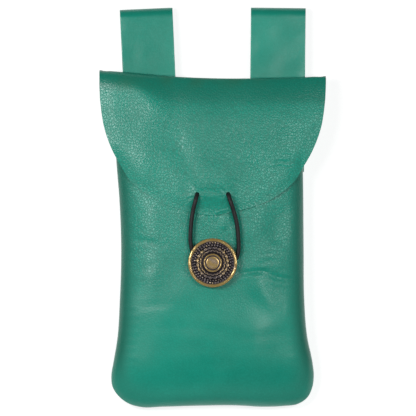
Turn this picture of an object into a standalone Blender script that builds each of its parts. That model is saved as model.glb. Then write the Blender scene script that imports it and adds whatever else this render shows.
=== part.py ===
# Belt pouch of turned and sewn leather, lying on its back with the flap closed.
# Metres. +X is to the right seen from the front, +Y points to the belt loops, +Z out of the front.
# The origin is under the middle of the whole pouch, on the surface that it lies on.
import math

import bmesh
import bpy
import numpy as np
from mathutils import Vector

# Leather and the gap between touching pieces
LEATHER = 0.0015
CLEARANCE = 0.0003

# Body
BODY_WIDTH = 0.0924
BODY_LENGTH = 0.1662          # bottom edge to top fold
BELLY_DEPTH = 0.0215          # from the surface to the front's highest point
BOTTOM_ROUND = 0.0260         # how far up the front takes to reach its full depth
MOUTH_DROP = 0.0252           # top fold down to the front panel's cut edge
SEAM_ALLOWANCE = 0.0055       # turned-in edge of both panels
SEAM_ROLL = 0.0012            # bend of the front panel where it turns in

# Flap and top fold
FLAP_WIDTH = 0.1143
FLAP_LENGTH = 0.0692          # top fold to the tip
FLAP_DROOP = 0.0035           # how far the flap's sides sink below its middle
FOLD_RADIUS = 0.0060          # bend of the top fold, at the middle of the leather
SEAM_TAPER = 0.0130           # length above the mouth over which the turned edge opens flat
TAPER_NOTCH = 0.0030          # leather clipped off the edge there
HOLE_INSET = 0.0117           # flap tip up to the cord holes
HOLE_SPACING = 0.0157
HOLE_CLEARANCE = 0.0004       # round the cord in its hole

# Belt loops
LOOP_WIDTH = 0.0271
LOOP_RISE = 0.0358            # top fold up to the top of the loops
LOOP_OPENING = 0.0050         # clear gap for the belt
LOOP_SEWN = 0.0100            # length of the ends that are sewn to the back panel
LOOP_SPREAD = 0.0180          # length over which the two layers part
LOOP_DROP = 0.0472            # top fold down to the loops' ends
BACK_RAMP = 0.0160            # length over which the back panel climbs onto the loops' ends

# Elastic cord and button
CORD = 0.0022
BUTTON_DIAMETER = 0.0249
BUTTON_DROP = 0.0931          # top fold down to the button's centre
BUTTON_THICKNESS = 0.0026
BUTTON_STANDOFF = 0.0030      # front panel to the disc's underside
POST_DIAMETER = 0.0040
RIVET_DIAMETER = 0.0095
RIVET_THICKNESS = 0.0010

# Silhouette of the body's sides, from the top fold down to the lower corners.
# along: share of BODY_LENGTH above the bottom; left, right: shares of half BODY_WIDTH
BODY_SIDES = (
    (1.000, 1.080, 0.995),
    (0.848, 1.071, 0.990),
    (0.740, 1.050, 0.987),
    (0.632, 1.019, 0.991),
    (0.469, 1.000, 0.995),
    (0.325, 1.015, 1.002),
    (0.211, 1.041, 1.036),
    (0.138, 1.084, 1.091),
    (0.099, 1.107, 1.106),
    (0.066, 1.097, 1.093),
    (0.029, 1.006, 1.030),
)

# Bottom edge between the lower corners, from left to right.
# across: share of half BODY_WIDTH; along: share of BODY_LENGTH above the bottom
BODY_BOTTOM = (
    (-0.907, 0.0110),
    (-0.790, 0.0020),
    (-0.530, 0.0027),
    (-0.100, 0.0060),
    (0.260, 0.0065),
    (0.550, 0.0025),
    (0.780, 0.0050),
    (0.929, 0.0110),
)

# Depth of the front along its middle. along: share of BODY_LENGTH; depth: share of BELLY_DEPTH
BELLY = (
    (0.00, 0.83),
    (0.15, 0.92),
    (0.33, 0.99),
    (0.44, 1.00),
    (0.62, 0.99),
    (0.75, 0.95),
    (0.85, 0.90),
    (1.00, 0.86),
)

# Height of the seam's middle. along: share of BODY_LENGTH; height: share of BELLY_DEPTH
SEAM_HEIGHT = (
    (0.000, 0.200),
    (0.060, 0.215),
    (0.250, 0.330),
    (0.620, 0.340),
    (0.848, 0.600),
)

# Silhouette of the flap's sides, from the fold down to where the front curve begins.
# down: share of FLAP_LENGTH below the fold; left, right: shares of half FLAP_WIDTH
FLAP_SIDES = (
    (-0.06, 1.000, 1.000),
    (0.06, 1.000, 1.000),
    (0.19, 0.990, 0.990),
    (0.36, 0.957, 0.956),
    (0.54, 0.877, 0.873),
    (0.65, 0.800, 0.797),
    (0.74, 0.735, 0.732),
)

# Front curve of the flap between them, from left to right, in the same shares
FLAP_FRONT = (
    (-0.633, 0.812),
    (-0.500, 0.885),
    (-0.340, 0.942),
    (-0.150, 0.983),
    (0.000, 1.000),
    (0.150, 0.978),
    (0.334, 0.942),
    (0.504, 0.887),
    (0.640, 0.812),
)

# Line of the top fold. across: share of half FLAP_WIDTH; rise: share of FOLD_RADIUS
FOLD_LINE = (
    (-1.00, 0.72),
    (-0.77, 0.52),
    (-0.33, 0.15),
    (0.10, 0.00),
    (0.45, 0.02),
    (0.80, 0.10),
    (1.00, 0.22),
)

# Soft dents and swellings of the front panel and the flap.
# across, along: shares of half BODY_WIDTH and BODY_LENGTH; length, width: shares of BODY_WIDTH;
# turn: degrees from +X; depth: share of BELLY_DEPTH, raised where it is positive
PANEL_DENTS = (
    ("crease right of the button", 0.62, 0.430, 0.190, 0.026, 4.0, -0.030),
    ("crease under it", 0.66, 0.385, 0.160, 0.030, -16.0, -0.026),
    ("wrinkle left of the button", -0.72, 0.470, 0.090, 0.024, 12.0, -0.022),
    ("hollow below the button", 0.05, 0.270, 0.220, 0.110, 0.0, -0.022),
)
FLAP_DENTS = (
    ("swelling at the upper left", -0.62, 0.800, 0.150, 0.110, 20.0, 0.030),
    ("swelling at the right", 0.70, 0.760, 0.140, 0.100, -25.0, 0.026),
)

# Belt loops. centre: share of half BODY_WIDTH at the fold; width: share of LOOP_WIDTH; lean: degrees
BELT_LOOPS = (
    ("belt_loop_left", -0.693, 0.980, 2.6),
    ("belt_loop_right", 0.710, 1.020, -0.6),
)

# Route of the elastic's two strands from the holes to the button's post.
# down: share of the way from the holes to the button's centre; left, right: shares of the
# button's radius
CORD_ROUTE = (
    (0.13, 0.728, 0.745),
    (0.26, 0.809, 0.865),
    (0.39, 0.860, 0.960),
    (0.55, 0.895, 1.025),
    (0.70, 0.895, 1.048),
    (0.82, 0.830, 1.045),
    (0.93, 0.680, 0.960),
    (1.03, 0.450, 0.640),
)

# Turned profile of the button's face, from the centre out.
# radius: share of the button's radius; height: share of BUTTON_THICKNESS; petals: how far the
# twenty cast petals rise and fall there, as a share of BUTTON_THICKNESS
BUTTON_FACE = (
    (0.130, 0.93, 0.00),
    (0.255, 0.86, 0.00),
    (0.285, 0.66, 0.00),
    (0.315, 0.66, 0.00),
    (0.335, 0.88, 0.00),
    (0.372, 0.88, 0.00),
    (0.395, 0.58, 0.00),
    (0.432, 0.56, 0.00),
    (0.455, 0.74, 0.06),
    (0.510, 0.74, 0.06),
    (0.535, 0.58, 0.00),
    (0.560, 0.68, 0.10),
    (0.625, 0.66, 0.10),
    (0.665, 0.52, 0.00),
    (0.845, 0.48, 0.00),
    (0.872, 0.84, 0.00),
    (0.925, 1.00, 0.00),
    (0.980, 0.86, 0.00),
    (1.000, 0.55, 0.00),
    (0.985, 0.18, 0.00),
    (0.945, 0.00, 0.00),
)
PETALS = 20
BUTTON_SIDES = 60

# How finely the meshes are divided
COLUMNS = 16                  # across the body
ROLL_STEPS = 4                # round a turned edge
FOLD_STEPS = 6                # round the top fold
FLAP_ROWS = 12
LINE_STEPS = 12               # between two rows of a table
CORD_POINTS = 66
BODY_ROWS = (0.006, 0.022, 0.050, 0.090, 0.145, 0.215, 0.31, 0.43, 0.57, 0.72, 0.87)

# Places that follow from the sizes
BOTTOM = -(BODY_LENGTH + LOOP_RISE) / 2
FOLD = BOTTOM + BODY_LENGTH
LOOP_TOP = FOLD + LOOP_RISE
MOUTH = FOLD - MOUTH_DROP
TIP = FOLD - FLAP_LENGTH
HOLE_LINE = TIP + HOLE_INSET
BUTTON_LINE = FOLD - BUTTON_DROP
HALF_BODY = BODY_WIDTH / 2
HALF_FLAP = FLAP_WIDTH / 2

# Where the back panel and the loops' front layer change slope, and their heights there
LOOP_END = FOLD - LOOP_DROP
SEWN_TOP = LOOP_END + LOOP_SEWN
SPREAD_TOP = SEWN_TOP + LOOP_SPREAD
RAMP_FOOT = LOOP_END - BACK_RAMP
LAYER = LEATHER + CLEARANCE
SEWN_HEIGHT = LEATHER / 2 + LAYER
OPEN_HEIGHT = LEATHER * 1.5 + LOOP_OPENING
SLOPES = (RAMP_FOOT, LOOP_END, SEWN_TOP, SPREAD_TOP)


def smooth_line(points, steps=LINE_STEPS):
    """Points on a smooth curve through the given ones."""
    points = [Vector(point) for point in points]
    gaps = [(b - a).length for a, b in zip(points, points[1:])]
    slopes = [(b - a) / gap for a, b, gap in zip(points, points[1:], gaps)]
    turns = [slopes[0]]
    for index in range(1, len(points) - 1):
        before, after = gaps[index - 1], gaps[index]
        turns.append((slopes[index - 1] * after + slopes[index] * before) / (before + after))
    turns.append(slopes[-1])
    line = []
    for a, b, start, end, gap in zip(points, points[1:], turns, turns[1:], gaps):
        for step in range(steps):
            t = step / steps
            line.append(a * (1 - 3 * t * t + 2 * t ** 3) + b * (3 * t * t - 2 * t ** 3)
                        + start * (gap * (t - 2 * t * t + t ** 3)) + end * (gap * (t ** 3 - t * t)))
    line.append(points[-1])
    return line


def read_curve(table, place):
    """Value of a two-column table at a place in its first column."""
    line = smooth_line(table)
    return float(np.interp(place, [point[0] for point in line], [point[1] for point in line]))


def ease(share):
    """Smooth step from 0 to 1."""
    share = min(1.0, max(0.0, share))
    return share * share * (3 - 2 * share)


class Outline:
    """A smooth open line in plan, with its length, points and inward directions."""

    def __init__(self, points, steps=LINE_STEPS):
        line = smooth_line(points, steps)
        self.x = np.array([point[0] for point in line])
        self.y = np.array([point[1] for point in line])
        self.t = np.concatenate(([0.0], np.cumsum(np.hypot(np.diff(self.x), np.diff(self.y)))))

    def point(self, t):
        return Vector((float(np.interp(t, self.t, self.x)), float(np.interp(t, self.t, self.y))))

    def inward(self, t):
        """The line runs anticlockwise, down the left side, so inside is to its left."""
        reach = self.t[-1] / 400
        along = self.point(min(t + reach, self.t[-1])) - self.point(max(t - reach, 0.0))
        return Vector((-along.y, along.x)).normalized()


def body_outline():
    """The silhouette of the body, and where along it the lower corners are."""
    def place(across, along):
        return (across * HALF_BODY, BOTTOM + along * BODY_LENGTH)

    left = [place(-row[1], row[0]) for row in BODY_SIDES]
    bottom = [place(*row) for row in BODY_BOTTOM]
    right = [place(row[2], row[0]) for row in reversed(BODY_SIDES)]
    outline = Outline(left + bottom + right)
    left_corner = outline.t[(len(left) - 1) * LINE_STEPS]
    right_corner = outline.t[(len(left) + len(bottom)) * LINE_STEPS]
    return outline, left_corner, right_corner


BODY, LEFT_CORNER, RIGHT_CORNER = body_outline()
CORNER_LINE = BOTTOM + BODY_SIDES[-1][0] * BODY_LENGTH


def side_place(side, y):
    """How far along the silhouette its left or right side passes a height."""
    if side < 0:
        keep = BODY.t <= LEFT_CORNER
        return float(np.interp(-y, -BODY.y[keep], BODY.t[keep]))
    keep = BODY.t >= RIGHT_CORNER
    return float(np.interp(y, BODY.y[keep], BODY.t[keep]))


def body_rim(rows):
    """Places round the rim: down the left side, along the bottom, up the right side."""
    left = [side_place(-1, y) for y in reversed(rows)]
    bottom = [LEFT_CORNER + (RIGHT_CORNER - LEFT_CORNER) * share for share in column_shares()]
    right = [side_place(1, y) for y in rows]
    return left[:-1] + bottom + right[1:]


def column_shares():
    """Shares of the width from 0 to 1, closer together near the sides."""
    return [(1 + math.sin(math.pi * (column / COLUMNS - 0.5))) / 2 for column in range(COLUMNS + 1)]


def rows_with(rows, low, high):
    """The given rows with the slope lines that fall between two heights."""
    lines = [line for line in SLOPES if low < line < high]
    return sorted(rows + lines)


def body_rows():
    """Heights of the rows from the lower corners to the mouth."""
    reach = MOUTH - CORNER_LINE
    rows = [CORNER_LINE + share * reach for share in BODY_ROWS]
    return rows_with([CORNER_LINE] + rows + [MOUTH], CORNER_LINE, MOUTH)


def body_grid(rows, inset):
    """Plan of the body inside its rim, as rows of points, moved in from the silhouette."""
    def moved(t):
        point = BODY.point(t)
        return point + BODY.inward(t) * inset(point.y)

    shares = column_shares()
    bottom = [moved(LEFT_CORNER + (RIGHT_CORNER - LEFT_CORNER) * share) for share in shares]
    grid = []
    for y in rows:
        left = moved(side_place(-1, y))
        right = moved(side_place(1, y))
        bow = max(0.0, 1 - (y - CORNER_LINE) / BOTTOM_ROUND) ** 2
        grid.append([left.lerp(right, share) + (low - bottom[0].lerp(bottom[-1], share)) * bow
                     for share, low in zip(shares, bottom)])
    return grid


def back_height(y):
    """Middle of the back panel's leather above the surface."""
    shelf = SEWN_HEIGHT + LAYER
    return float(np.interp(y, SLOPES, (LEATHER / 2, shelf, shelf, OPEN_HEIGHT + LAYER)))


def leg_height(y):
    """Middle of the belt loops' front layer above the surface."""
    return float(np.interp(y, SLOPES[1:], (SEWN_HEIGHT, SEWN_HEIGHT, OPEN_HEIGHT)))


def seam_height(y):
    """Middle of the seam between the two turned-in edges."""
    return BELLY_DEPTH * read_curve(SEAM_HEIGHT, (y - BOTTOM) / BODY_LENGTH)


def back_roll(y):
    """Bend of the back panel where it turns up and in to the seam."""
    return (seam_height(y) - LAYER / 2 - back_height(y)) / 2


def panel_edge(y):
    """Height at which the front panel stands upright at the silhouette."""
    return seam_height(y) + LAYER / 2 + SEAM_ROLL


def crown(y):
    """Outside of the front panel along its middle."""
    return BELLY_DEPTH * read_curve(BELLY, (y - BOTTOM) / BODY_LENGTH)


def dents(table, x, y):
    """Height that the dents of a table add at a place."""
    total = 0.0
    for _, across, along, length, width, turn, depth in table:
        dx = x - across * HALF_BODY
        dy = y - BOTTOM - along * BODY_LENGTH
        angle = math.radians(turn)
        run = (dx * math.cos(angle) + dy * math.sin(angle)) / (length * BODY_WIDTH)
        side = (dy * math.cos(angle) - dx * math.sin(angle)) / (width * BODY_WIDTH)
        total += depth * BELLY_DEPTH * math.exp(-run * run - side * side)
    return total


def inner_silhouette():
    """The silhouette moved in by half the leather, as arrays of x and y."""
    points = [BODY.point(t) + BODY.inward(t) * (LEATHER / 2) for t in BODY.t]
    return np.array([point.x for point in points]), np.array([point.y for point in points])


INNER_X, INNER_Y = inner_silhouette()
LOWEST = {side: min((y, i) for i, (x, y) in enumerate(zip(INNER_X, INNER_Y)) if x * side > 0)[1]
          for side in (-1, 1)}
WIDEST = (int(np.argmin(np.where(INNER_Y < BOTTOM + BODY_LENGTH / 4, INNER_X, 0.0))),
          int(np.argmax(np.where(INNER_Y < BOTTOM + BODY_LENGTH / 4, INNER_X, 0.0))))


def panel_height(x, y):
    """Middle of the front panel's leather: a crowned form that drops steeply at its rim."""
    if x < 0:
        half = float(np.interp(-y, -INNER_Y[:LOWEST[-1] + 1], -INNER_X[:LOWEST[-1] + 1]))
    else:
        half = float(np.interp(y, INNER_Y[LOWEST[1]:], INNER_X[LOWEST[1]:]))
    low = slice(WIDEST[0], WIDEST[1] + 1)
    bottom = float(np.interp(x, INNER_X[low], INNER_Y[low]))
    across = max(0.0, 1 - min(1.0, abs(x) / half) ** 3.0) ** 0.45
    rise = min(1.0, max(0.0, (y - bottom) / BOTTOM_ROUND))
    form = across * (1 - (1 - rise) ** 2.2) ** 0.5
    edge = panel_edge(y)
    return edge + (crown(y) - LEATHER / 2 - edge + dents(PANEL_DENTS, x, y)) * form


def droop(x):
    """How far the flap sinks towards its sides."""
    return FLAP_DROOP * min(1.0, abs(x) / HALF_FLAP) ** 2.5


def fold_radius(x):
    return FOLD_RADIUS - droop(x) / 2


def fold_start(x):
    """Height at which the leather begins to bend over at the top."""
    rise = FOLD_RADIUS * read_curve(FOLD_LINE, x / HALF_FLAP)
    return FOLD + rise - fold_radius(x) - LEATHER / 2


def cord_swell(x, y):
    """The flap lifts over the stretch of elastic that runs behind it."""
    spread = HOLE_SPACING * 0.9
    return (CORD + 2 * CLEARANCE) * math.exp(-(x / spread) ** 4 - ((y - HOLE_LINE) / (CORD * 3.6)) ** 4)


def flap_height(x, y):
    """Middle of the flap's leather: from the fold it settles onto the front panel."""
    start = fold_start(0.0)
    low = min(y, start)
    rest = crown(low) + LEATHER / 2 + CLEARANCE
    fold_top = back_height(start) + 2 * FOLD_RADIUS
    lift = fold_top - crown(start) - LEATHER / 2 - CLEARANCE
    share = max(0.0, (low - TIP) / (start - TIP))
    swell = dents(FLAP_DENTS, x, y) * 4 * share * (1 - share)
    return rest + lift * share ** 2 - droop(x) + cord_swell(x, y) + swell


def opened_edge(roll, allowance, angle):
    """Run and rise of a turned edge's points, beyond where it leaves the panel."""
    length = math.pi * roll
    points = []
    for step in range(1, ROLL_STEPS + 1):
        part = angle * step / ROLL_STEPS
        if angle < 0.01:
            points.append((length * step / ROLL_STEPS, 0.0))
        else:
            points.append((length / angle * math.sin(part), length / angle * (1 - math.cos(part))))
    run, rise = points[-1]
    points.append((run + allowance * math.cos(angle), rise + allowance * math.sin(angle)))
    return points


def make_material(name, colour, roughness, metallic=0.0):
    material = bpy.data.materials.new(name)
    material.use_nodes = True
    shader = material.node_tree.nodes["Principled BSDF"]
    shader.inputs["Base Color"].default_value = (*colour, 1.0)
    shader.inputs["Roughness"].default_value = roughness
    shader.inputs["Metallic"].default_value = metallic
    return material


def add_object(name, mesh, material):
    item = bpy.data.objects.new(name, mesh)
    bpy.context.scene.collection.objects.link(item)
    mesh.materials.append(material)
    return item


def sheet_mesh(name, grid, rims):
    """A sheet from rows of points, with strips of points beyond the grid's rim.

    rims is a list of (grid place, points outward from it) that follows the rim.
    """
    form = bmesh.new()
    verts = [[form.verts.new(point) for point in row] for row in grid]
    for low, high in zip(verts, verts[1:]):
        for a, b, c, d in zip(low, low[1:], high[1:], high):
            form.faces.new((a, b, c, d))
    strips = [[verts[row][column]] + [form.verts.new(point) for point in points]
              for (row, column), points in rims]
    for first, second in zip(strips, strips[1:]):
        for a, b, c, d in zip(first, first[1:], second[1:], second):
            form.faces.new((a, b, c, d))
    bmesh.ops.recalc_face_normals(form, faces=form.faces)
    mesh = bpy.data.meshes.new(name)
    form.to_mesh(mesh)
    form.free()
    mesh.shade_smooth()
    return mesh


def thicken(item):
    solid = item.modifiers.new("leather thickness", "SOLIDIFY")
    solid.thickness = LEATHER
    solid.offset = 0.0
    solid.use_even_offset = True
    solid.use_quality_normals = True


def cut_round_hole(item, name, diameter, centre, depth, sides=16):
    """Cut a round hole along Z with a hidden cylinder."""
    form = bmesh.new()
    bmesh.ops.create_cone(form, cap_ends=True, segments=sides, radius1=diameter / 2,
                          radius2=diameter / 2, depth=depth)
    mesh = bpy.data.meshes.new(name)
    form.to_mesh(mesh)
    form.free()
    cutter = bpy.data.objects.new(name, mesh)
    bpy.context.scene.collection.objects.link(cutter)
    cutter.location = centre
    cutter.hide_render = True
    cutter.display_type = "WIRE"
    cut = item.modifiers.new(name, "BOOLEAN")
    cut.operation = "DIFFERENCE"
    cut.solver = "EXACT"
    cut.object = cutter


def make_front_panel(material):
    """The domed front, its side and bottom edges turned in to the seam."""
    rows = body_rows()
    plan = body_grid(rows, lambda y: LEATHER / 2)
    rim = body_rim(rows)
    last = len(rows) - 1
    keys = ([(row, 0) for row in range(last, 0, -1)] + [(0, column) for column in range(COLUMNS + 1)]
            + [(row, COLUMNS) for row in range(1, last + 1)])
    edge_height = {key: panel_edge(BODY.point(t).y) for key, t in zip(keys, rim)}
    grid = [[(point.x, point.y, edge_height.get((row, column), panel_height(point.x, point.y)))
             for column, point in enumerate(line)] for row, line in enumerate(plan)]
    rims = []
    for key, t in zip(keys, rim):
        start, inward = plan[key[0]][key[1]], BODY.inward(t)
        points = []
        for step in range(1, ROLL_STEPS):
            angle = math.pi / 2 * step / (ROLL_STEPS - 1)
            spot = start + inward * SEAM_ROLL * (1 - math.cos(angle))
            points.append((spot.x, spot.y, edge_height[key] - SEAM_ROLL * math.sin(angle)))
        spot = start + inward * (SEAM_ROLL + SEAM_ALLOWANCE)
        points.append((spot.x, spot.y, edge_height[key] - SEAM_ROLL))
        rims.append((key, points))
    panel = add_object("front_panel", sheet_mesh("front_panel", grid, rims), material)
    thicken(panel)
    cut_round_hole(panel, "post hole", POST_DIAMETER + 2 * CLEARANCE,
                   (0.0, BUTTON_LINE, crown(BUTTON_LINE)), LEATHER * 4)
    return panel


def taper_rows():
    """Rows above the mouth: height and how far the turned edge has opened, 0 to 1."""
    first = MOUTH + LEATHER
    last = first + SEAM_TAPER
    heights = [first + SEAM_TAPER * step / 5 for step in range(6)]
    return [(y, ease((y - first) / (last - first))) for y in rows_with(heights, MOUTH, last)]


def flap_plan(shares):
    """Plan of the flap as rows of points, from the end of the fold to its front curve."""
    def place(across, down):
        return (across * HALF_FLAP, FOLD - down * FLAP_LENGTH)

    def side(sign, column):
        top = (sign * HALF_FLAP, fold_start(sign * HALF_FLAP))
        line = [place(sign * row[column], row[0]) for row in FLAP_SIDES]
        return Outline([top] + [point for point in line if point[1] < top[1] - LEATHER])

    left, right = side(-1, 1), side(1, 2)
    corners = [place(-FLAP_SIDES[-1][1], FLAP_SIDES[-1][0]), place(FLAP_SIDES[-1][2], FLAP_SIDES[-1][0])]
    front = Outline([corners[0]] + [place(*row) for row in FLAP_FRONT] + [corners[1]])
    low_left, low_right = Vector(corners[0]), Vector(corners[1])
    top_left, top_right = left.point(0.0), right.point(0.0)
    rows = []
    for row in range(FLAP_ROWS + 1):
        v = row / FLAP_ROWS
        line = []
        for share in shares:
            x = (share - 0.5) * FLAP_WIDTH
            top = Vector((x, fold_start(x)))
            low = front.point(share * front.t[-1])
            sides = left.point(v * left.t[-1]).lerp(right.point(v * right.t[-1]), share)
            flat = top_left.lerp(top_right, share).lerp(low_left.lerp(low_right, share), v)
            line.append(top.lerp(low, v) + sides - flat)
        rows.append(line)
    return rows


def make_back_flap(material):
    """One sheet: the back panel, the top fold and the flap."""
    rows = body_rows()
    plan = body_grid(rows, lambda y: LEATHER / 2 + back_roll(y))
    rim = body_rim(rows)
    last = len(rows) - 1
    grid = [[(point.x, point.y, back_height(point.y)) for point in line] for line in plan]
    left, low, right = [], [], []
    keys = ([(row, 0) for row in range(last, 0, -1)] + [(0, column) for column in range(COLUMNS + 1)]
            + [(row, COLUMNS) for row in range(1, last + 1)])
    for key, t in zip(keys, rim):
        start, outward = plan[key[0]][key[1]], -BODY.inward(t)
        y = BODY.point(t).y
        points = []
        for run, rise in opened_edge(back_roll(y), SEAM_ALLOWANCE, math.pi):
            spot = start + outward * run
            points.append((spot.x, spot.y, back_height(y) + rise))
        strip = left if key[1] == 0 and key[0] else right if key[0] else low
        strip.append((key, points))

    roll = back_roll(MOUTH)
    flat_half = HALF_FLAP - math.pi * roll - SEAM_ALLOWANCE
    shares = column_shares()

    def add_row(half, heights, edge, angle, allowance):
        """Add a row across the sheet: half widths, a height for each x, and the edge's opening."""
        row = len(grid)
        columns = [-half[0] + (half[0] + half[1]) * share for share in shares]
        grid.append([(x, *heights(x)) for x in columns])
        for side, x, strip, column in ((-1, -half[0], left, 0), (1, half[1], right, COLUMNS)):
            points = []
            for run, rise in opened_edge(edge, allowance, angle):
                y, z = heights(x + side * run)
                points.append((x + side * run, y, z + rise))
            strip.insert(0 if side < 0 else len(strip), ((row, column), points))

    mouth_half = (-grid[last][0][0], grid[last][COLUMNS][0])
    for y, opened in taper_rows():
        half = [start + (flat_half - start) * opened for start in mouth_half]
        clipped = SEAM_ALLOWANCE - TAPER_NOTCH * 4 * opened * (1 - opened)
        add_row(half, lambda x, y=y: (y, back_height(y)), roll, math.pi * (1 - opened), clipped)
    for step in range(FOLD_STEPS):
        angle = math.pi * step / FOLD_STEPS

        def folded(x):
            radius = fold_radius(x)
            centre = back_height(fold_start(x)) + radius
            return fold_start(x) + radius * math.sin(angle), centre - radius * math.cos(angle)

        add_row((flat_half, flat_half), folded, roll, 0.0, SEAM_ALLOWANCE)

    edge = [(HALF_FLAP + flat_half * (2 * share - 1)) / FLAP_WIDTH for share in shares]
    beyond = [(flat_half + run) / FLAP_WIDTH for run, _ in opened_edge(roll, SEAM_ALLOWANCE, 0.0)]
    every = [0.5 - share for share in reversed(beyond)] + edge + [0.5 + share for share in beyond]
    skirt = len(beyond)
    for line in flap_plan(every):
        points = [(spot.x, spot.y, flap_height(spot.x, spot.y)) for spot in line]
        row = len(grid)
        grid.append(points[skirt:-skirt])
        left.insert(0, ((row, 0), points[skirt - 1::-1]))
        right.append(((row, COLUMNS), points[-skirt:]))

    sheet = add_object("back_flap", sheet_mesh("back_flap", grid, left + low + right), material)
    thicken(sheet)
    for name, side in (("left cord hole", -1), ("right cord hole", 1)):
        x = side * HOLE_SPACING / 2
        cut_round_hole(sheet, name, CORD + 2 * HOLE_CLEARANCE,
                       (x, HOLE_LINE, flap_height(x, HOLE_LINE)), LEATHER * 3)
    return sheet


def make_belt_loop(name, centre, width, lean, material):
    """A strap folded over at the top, both ends together behind the back panel."""
    half = LOOP_WIDTH * width / 2
    slope = math.tan(math.radians(lean))
    bend = (OPEN_HEIGHT - LEATHER / 2) / 2
    bend_line = LOOP_TOP - abs(slope) * half - LEATHER / 2 - bend
    path = [(LOOP_END, LEATHER / 2), (FOLD, LEATHER / 2)]
    for step in range(11):
        angle = math.pi * step / 10
        path.append((bend_line + bend * math.sin(angle), LEATHER / 2 + bend * (1 - math.cos(angle))))
    path += [(y, leg_height(y)) for y in (FOLD, SPREAD_TOP, SEWN_TOP, LOOP_END)]
    grid = []
    for y, z in path:
        tilt = ease((y - FOLD) / (bend_line - FOLD)) * slope
        middle = centre * HALF_BODY - (y - FOLD) * slope
        grid.append([(middle + across * half, y + across * half * tilt, z)
                     for across in (-1.0, -0.34, 0.34, 1.0)])
    loop = add_object(name, sheet_mesh(name, grid, []), material)
    thicken(loop)
    return loop


def make_loop_cord(material):
    """One closed ring of round elastic through both holes and round the button's post."""
    hole = HOLE_SPACING / 2
    radius = BUTTON_DIAMETER / 2
    reach = HOLE_LINE - BUTTON_LINE
    under = crown(HOLE_LINE) + CLEARANCE + CORD / 2
    leather = flap_height(hole, HOLE_LINE)
    bend = leather - under
    settle = (TIP - LEATHER - CORD, TIP - LEATHER - CORD * 4)

    def lies(x, y):
        """Height of the elastic over the flap, and past its tip on the front panel."""
        over = flap_height(x, max(y, TIP)) + LEATHER / 2
        panel = panel_height(x, y) + LEATHER / 2
        share = ease((settle[0] - y) / (settle[0] - settle[1]))
        return over + (panel - over) * share + CLEARANCE + CORD / 2

    def strand(side, column):
        x = side * hole
        corner = bend * (1 - math.sqrt(0.5))
        top = leather + bend
        points = [(x - side * bend, HOLE_LINE, under), (x - side * corner, HOLE_LINE, under + corner),
                  (x, HOLE_LINE, leather), (x, HOLE_LINE - corner, top - corner),
                  (x, HOLE_LINE - bend, max(top, lies(x, HOLE_LINE - bend)))]
        for row in CORD_ROUTE:
            x, y = side * row[column] * radius, HOLE_LINE - row[0] * reach
            if y < HOLE_LINE - bend - CORD / 2:
                points.append((x, y, lies(x, y)))
        return points

    low = BUTTON_LINE - POST_DIAMETER / 2 - CLEARANCE - CORD / 2
    route = ([(0.0, HOLE_LINE, under)] + strand(1, 2) + [(0.0, low, lies(0.0, low))]
             + strand(-1, 1)[::-1] + [(0.0, HOLE_LINE, under)])
    line = smooth_line(route)
    lengths = np.concatenate(([0.0], np.cumsum([(b - a).length for a, b in zip(line, line[1:])])))
    places = np.linspace(0.0, lengths[-1], CORD_POINTS, endpoint=False)
    spots = np.stack([np.interp(places, lengths, [point[axis] for point in line]) for axis in range(3)])

    curve = bpy.data.curves.new("loop_cord", "CURVE")
    curve.dimensions = "3D"
    curve.bevel_depth = CORD / 2
    curve.bevel_resolution = 2
    spline = curve.splines.new("POLY")
    spline.points.add(CORD_POINTS - 1)
    for point, spot in zip(spline.points, spots.T):
        point.co = (*spot, 1.0)
    spline.use_cyclic_u = True
    cord = bpy.data.objects.new("loop_cord", curve)
    bpy.context.scene.collection.objects.link(cord)
    curve.materials.append(material)
    return cord


def make_button(material):
    """Cast disc with its ornament, the post under it and the rivet head inside the pouch."""
    radius = BUTTON_DIAMETER / 2
    post = POST_DIAMETER / 2
    rivet = RIVET_DIAMETER / 2
    panel = crown(BUTTON_LINE)
    disc = panel + BUTTON_STANDOFF
    head_top = panel - LEATHER - CLEARANCE
    profile = [(row[0] * radius, disc + row[1] * BUTTON_THICKNESS, row[2] * BUTTON_THICKNESS)
               for row in BUTTON_FACE]
    profile += [(post, disc, 0.0), (post, head_top, 0.0), (rivet, head_top, 0.0),
                (rivet, head_top - RIVET_THICKNESS, 0.0)]
    form = bmesh.new()
    rings = []
    for ring_radius, height, petal in profile:
        ring = []
        for side in range(BUTTON_SIDES):
            angle = 2 * math.pi * side / BUTTON_SIDES
            ring.append(form.verts.new((ring_radius * math.sin(angle),
                                        BUTTON_LINE + ring_radius * math.cos(angle),
                                        height + petal * math.cos(PETALS * angle))))
        rings.append(ring)
    for outer, inner in zip(rings, rings[1:]):
        for side in range(BUTTON_SIDES):
            after = (side + 1) % BUTTON_SIDES
            form.faces.new((outer[side], outer[after], inner[after], inner[side]))
    for ring, height in ((rings[0], disc + BUTTON_THICKNESS * 0.95),
                         (rings[-1], head_top - RIVET_THICKNESS)):
        tip = form.verts.new((0.0, BUTTON_LINE, height))
        for side in range(BUTTON_SIDES):
            form.faces.new((ring[side], ring[(side + 1) % BUTTON_SIDES], tip))
    bmesh.ops.recalc_face_normals(form, faces=form.faces)
    mesh = bpy.data.meshes.new("button")
    form.to_mesh(mesh)
    form.free()
    mesh.shade_smooth()
    mesh.set_sharp_from_angle(angle=math.radians(40))
    return add_object("button", mesh, material)


def build():
    for item in list(bpy.data.objects):
        bpy.data.objects.remove(item)
    leather = make_material("green leather", (0.035, 0.255, 0.175), 0.42)
    elastic = make_material("black elastic", (0.018, 0.016, 0.016), 0.75)
    brass = make_material("antique brass", (0.42, 0.27, 0.10), 0.34, 1.0)
    make_back_flap(leather)
    make_front_panel(leather)
    for name, centre, width, lean in BELT_LOOPS:
        make_belt_loop(name, centre, width, lean, leather)
    make_loop_cord(elastic)
    make_button(brass)


build()
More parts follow.
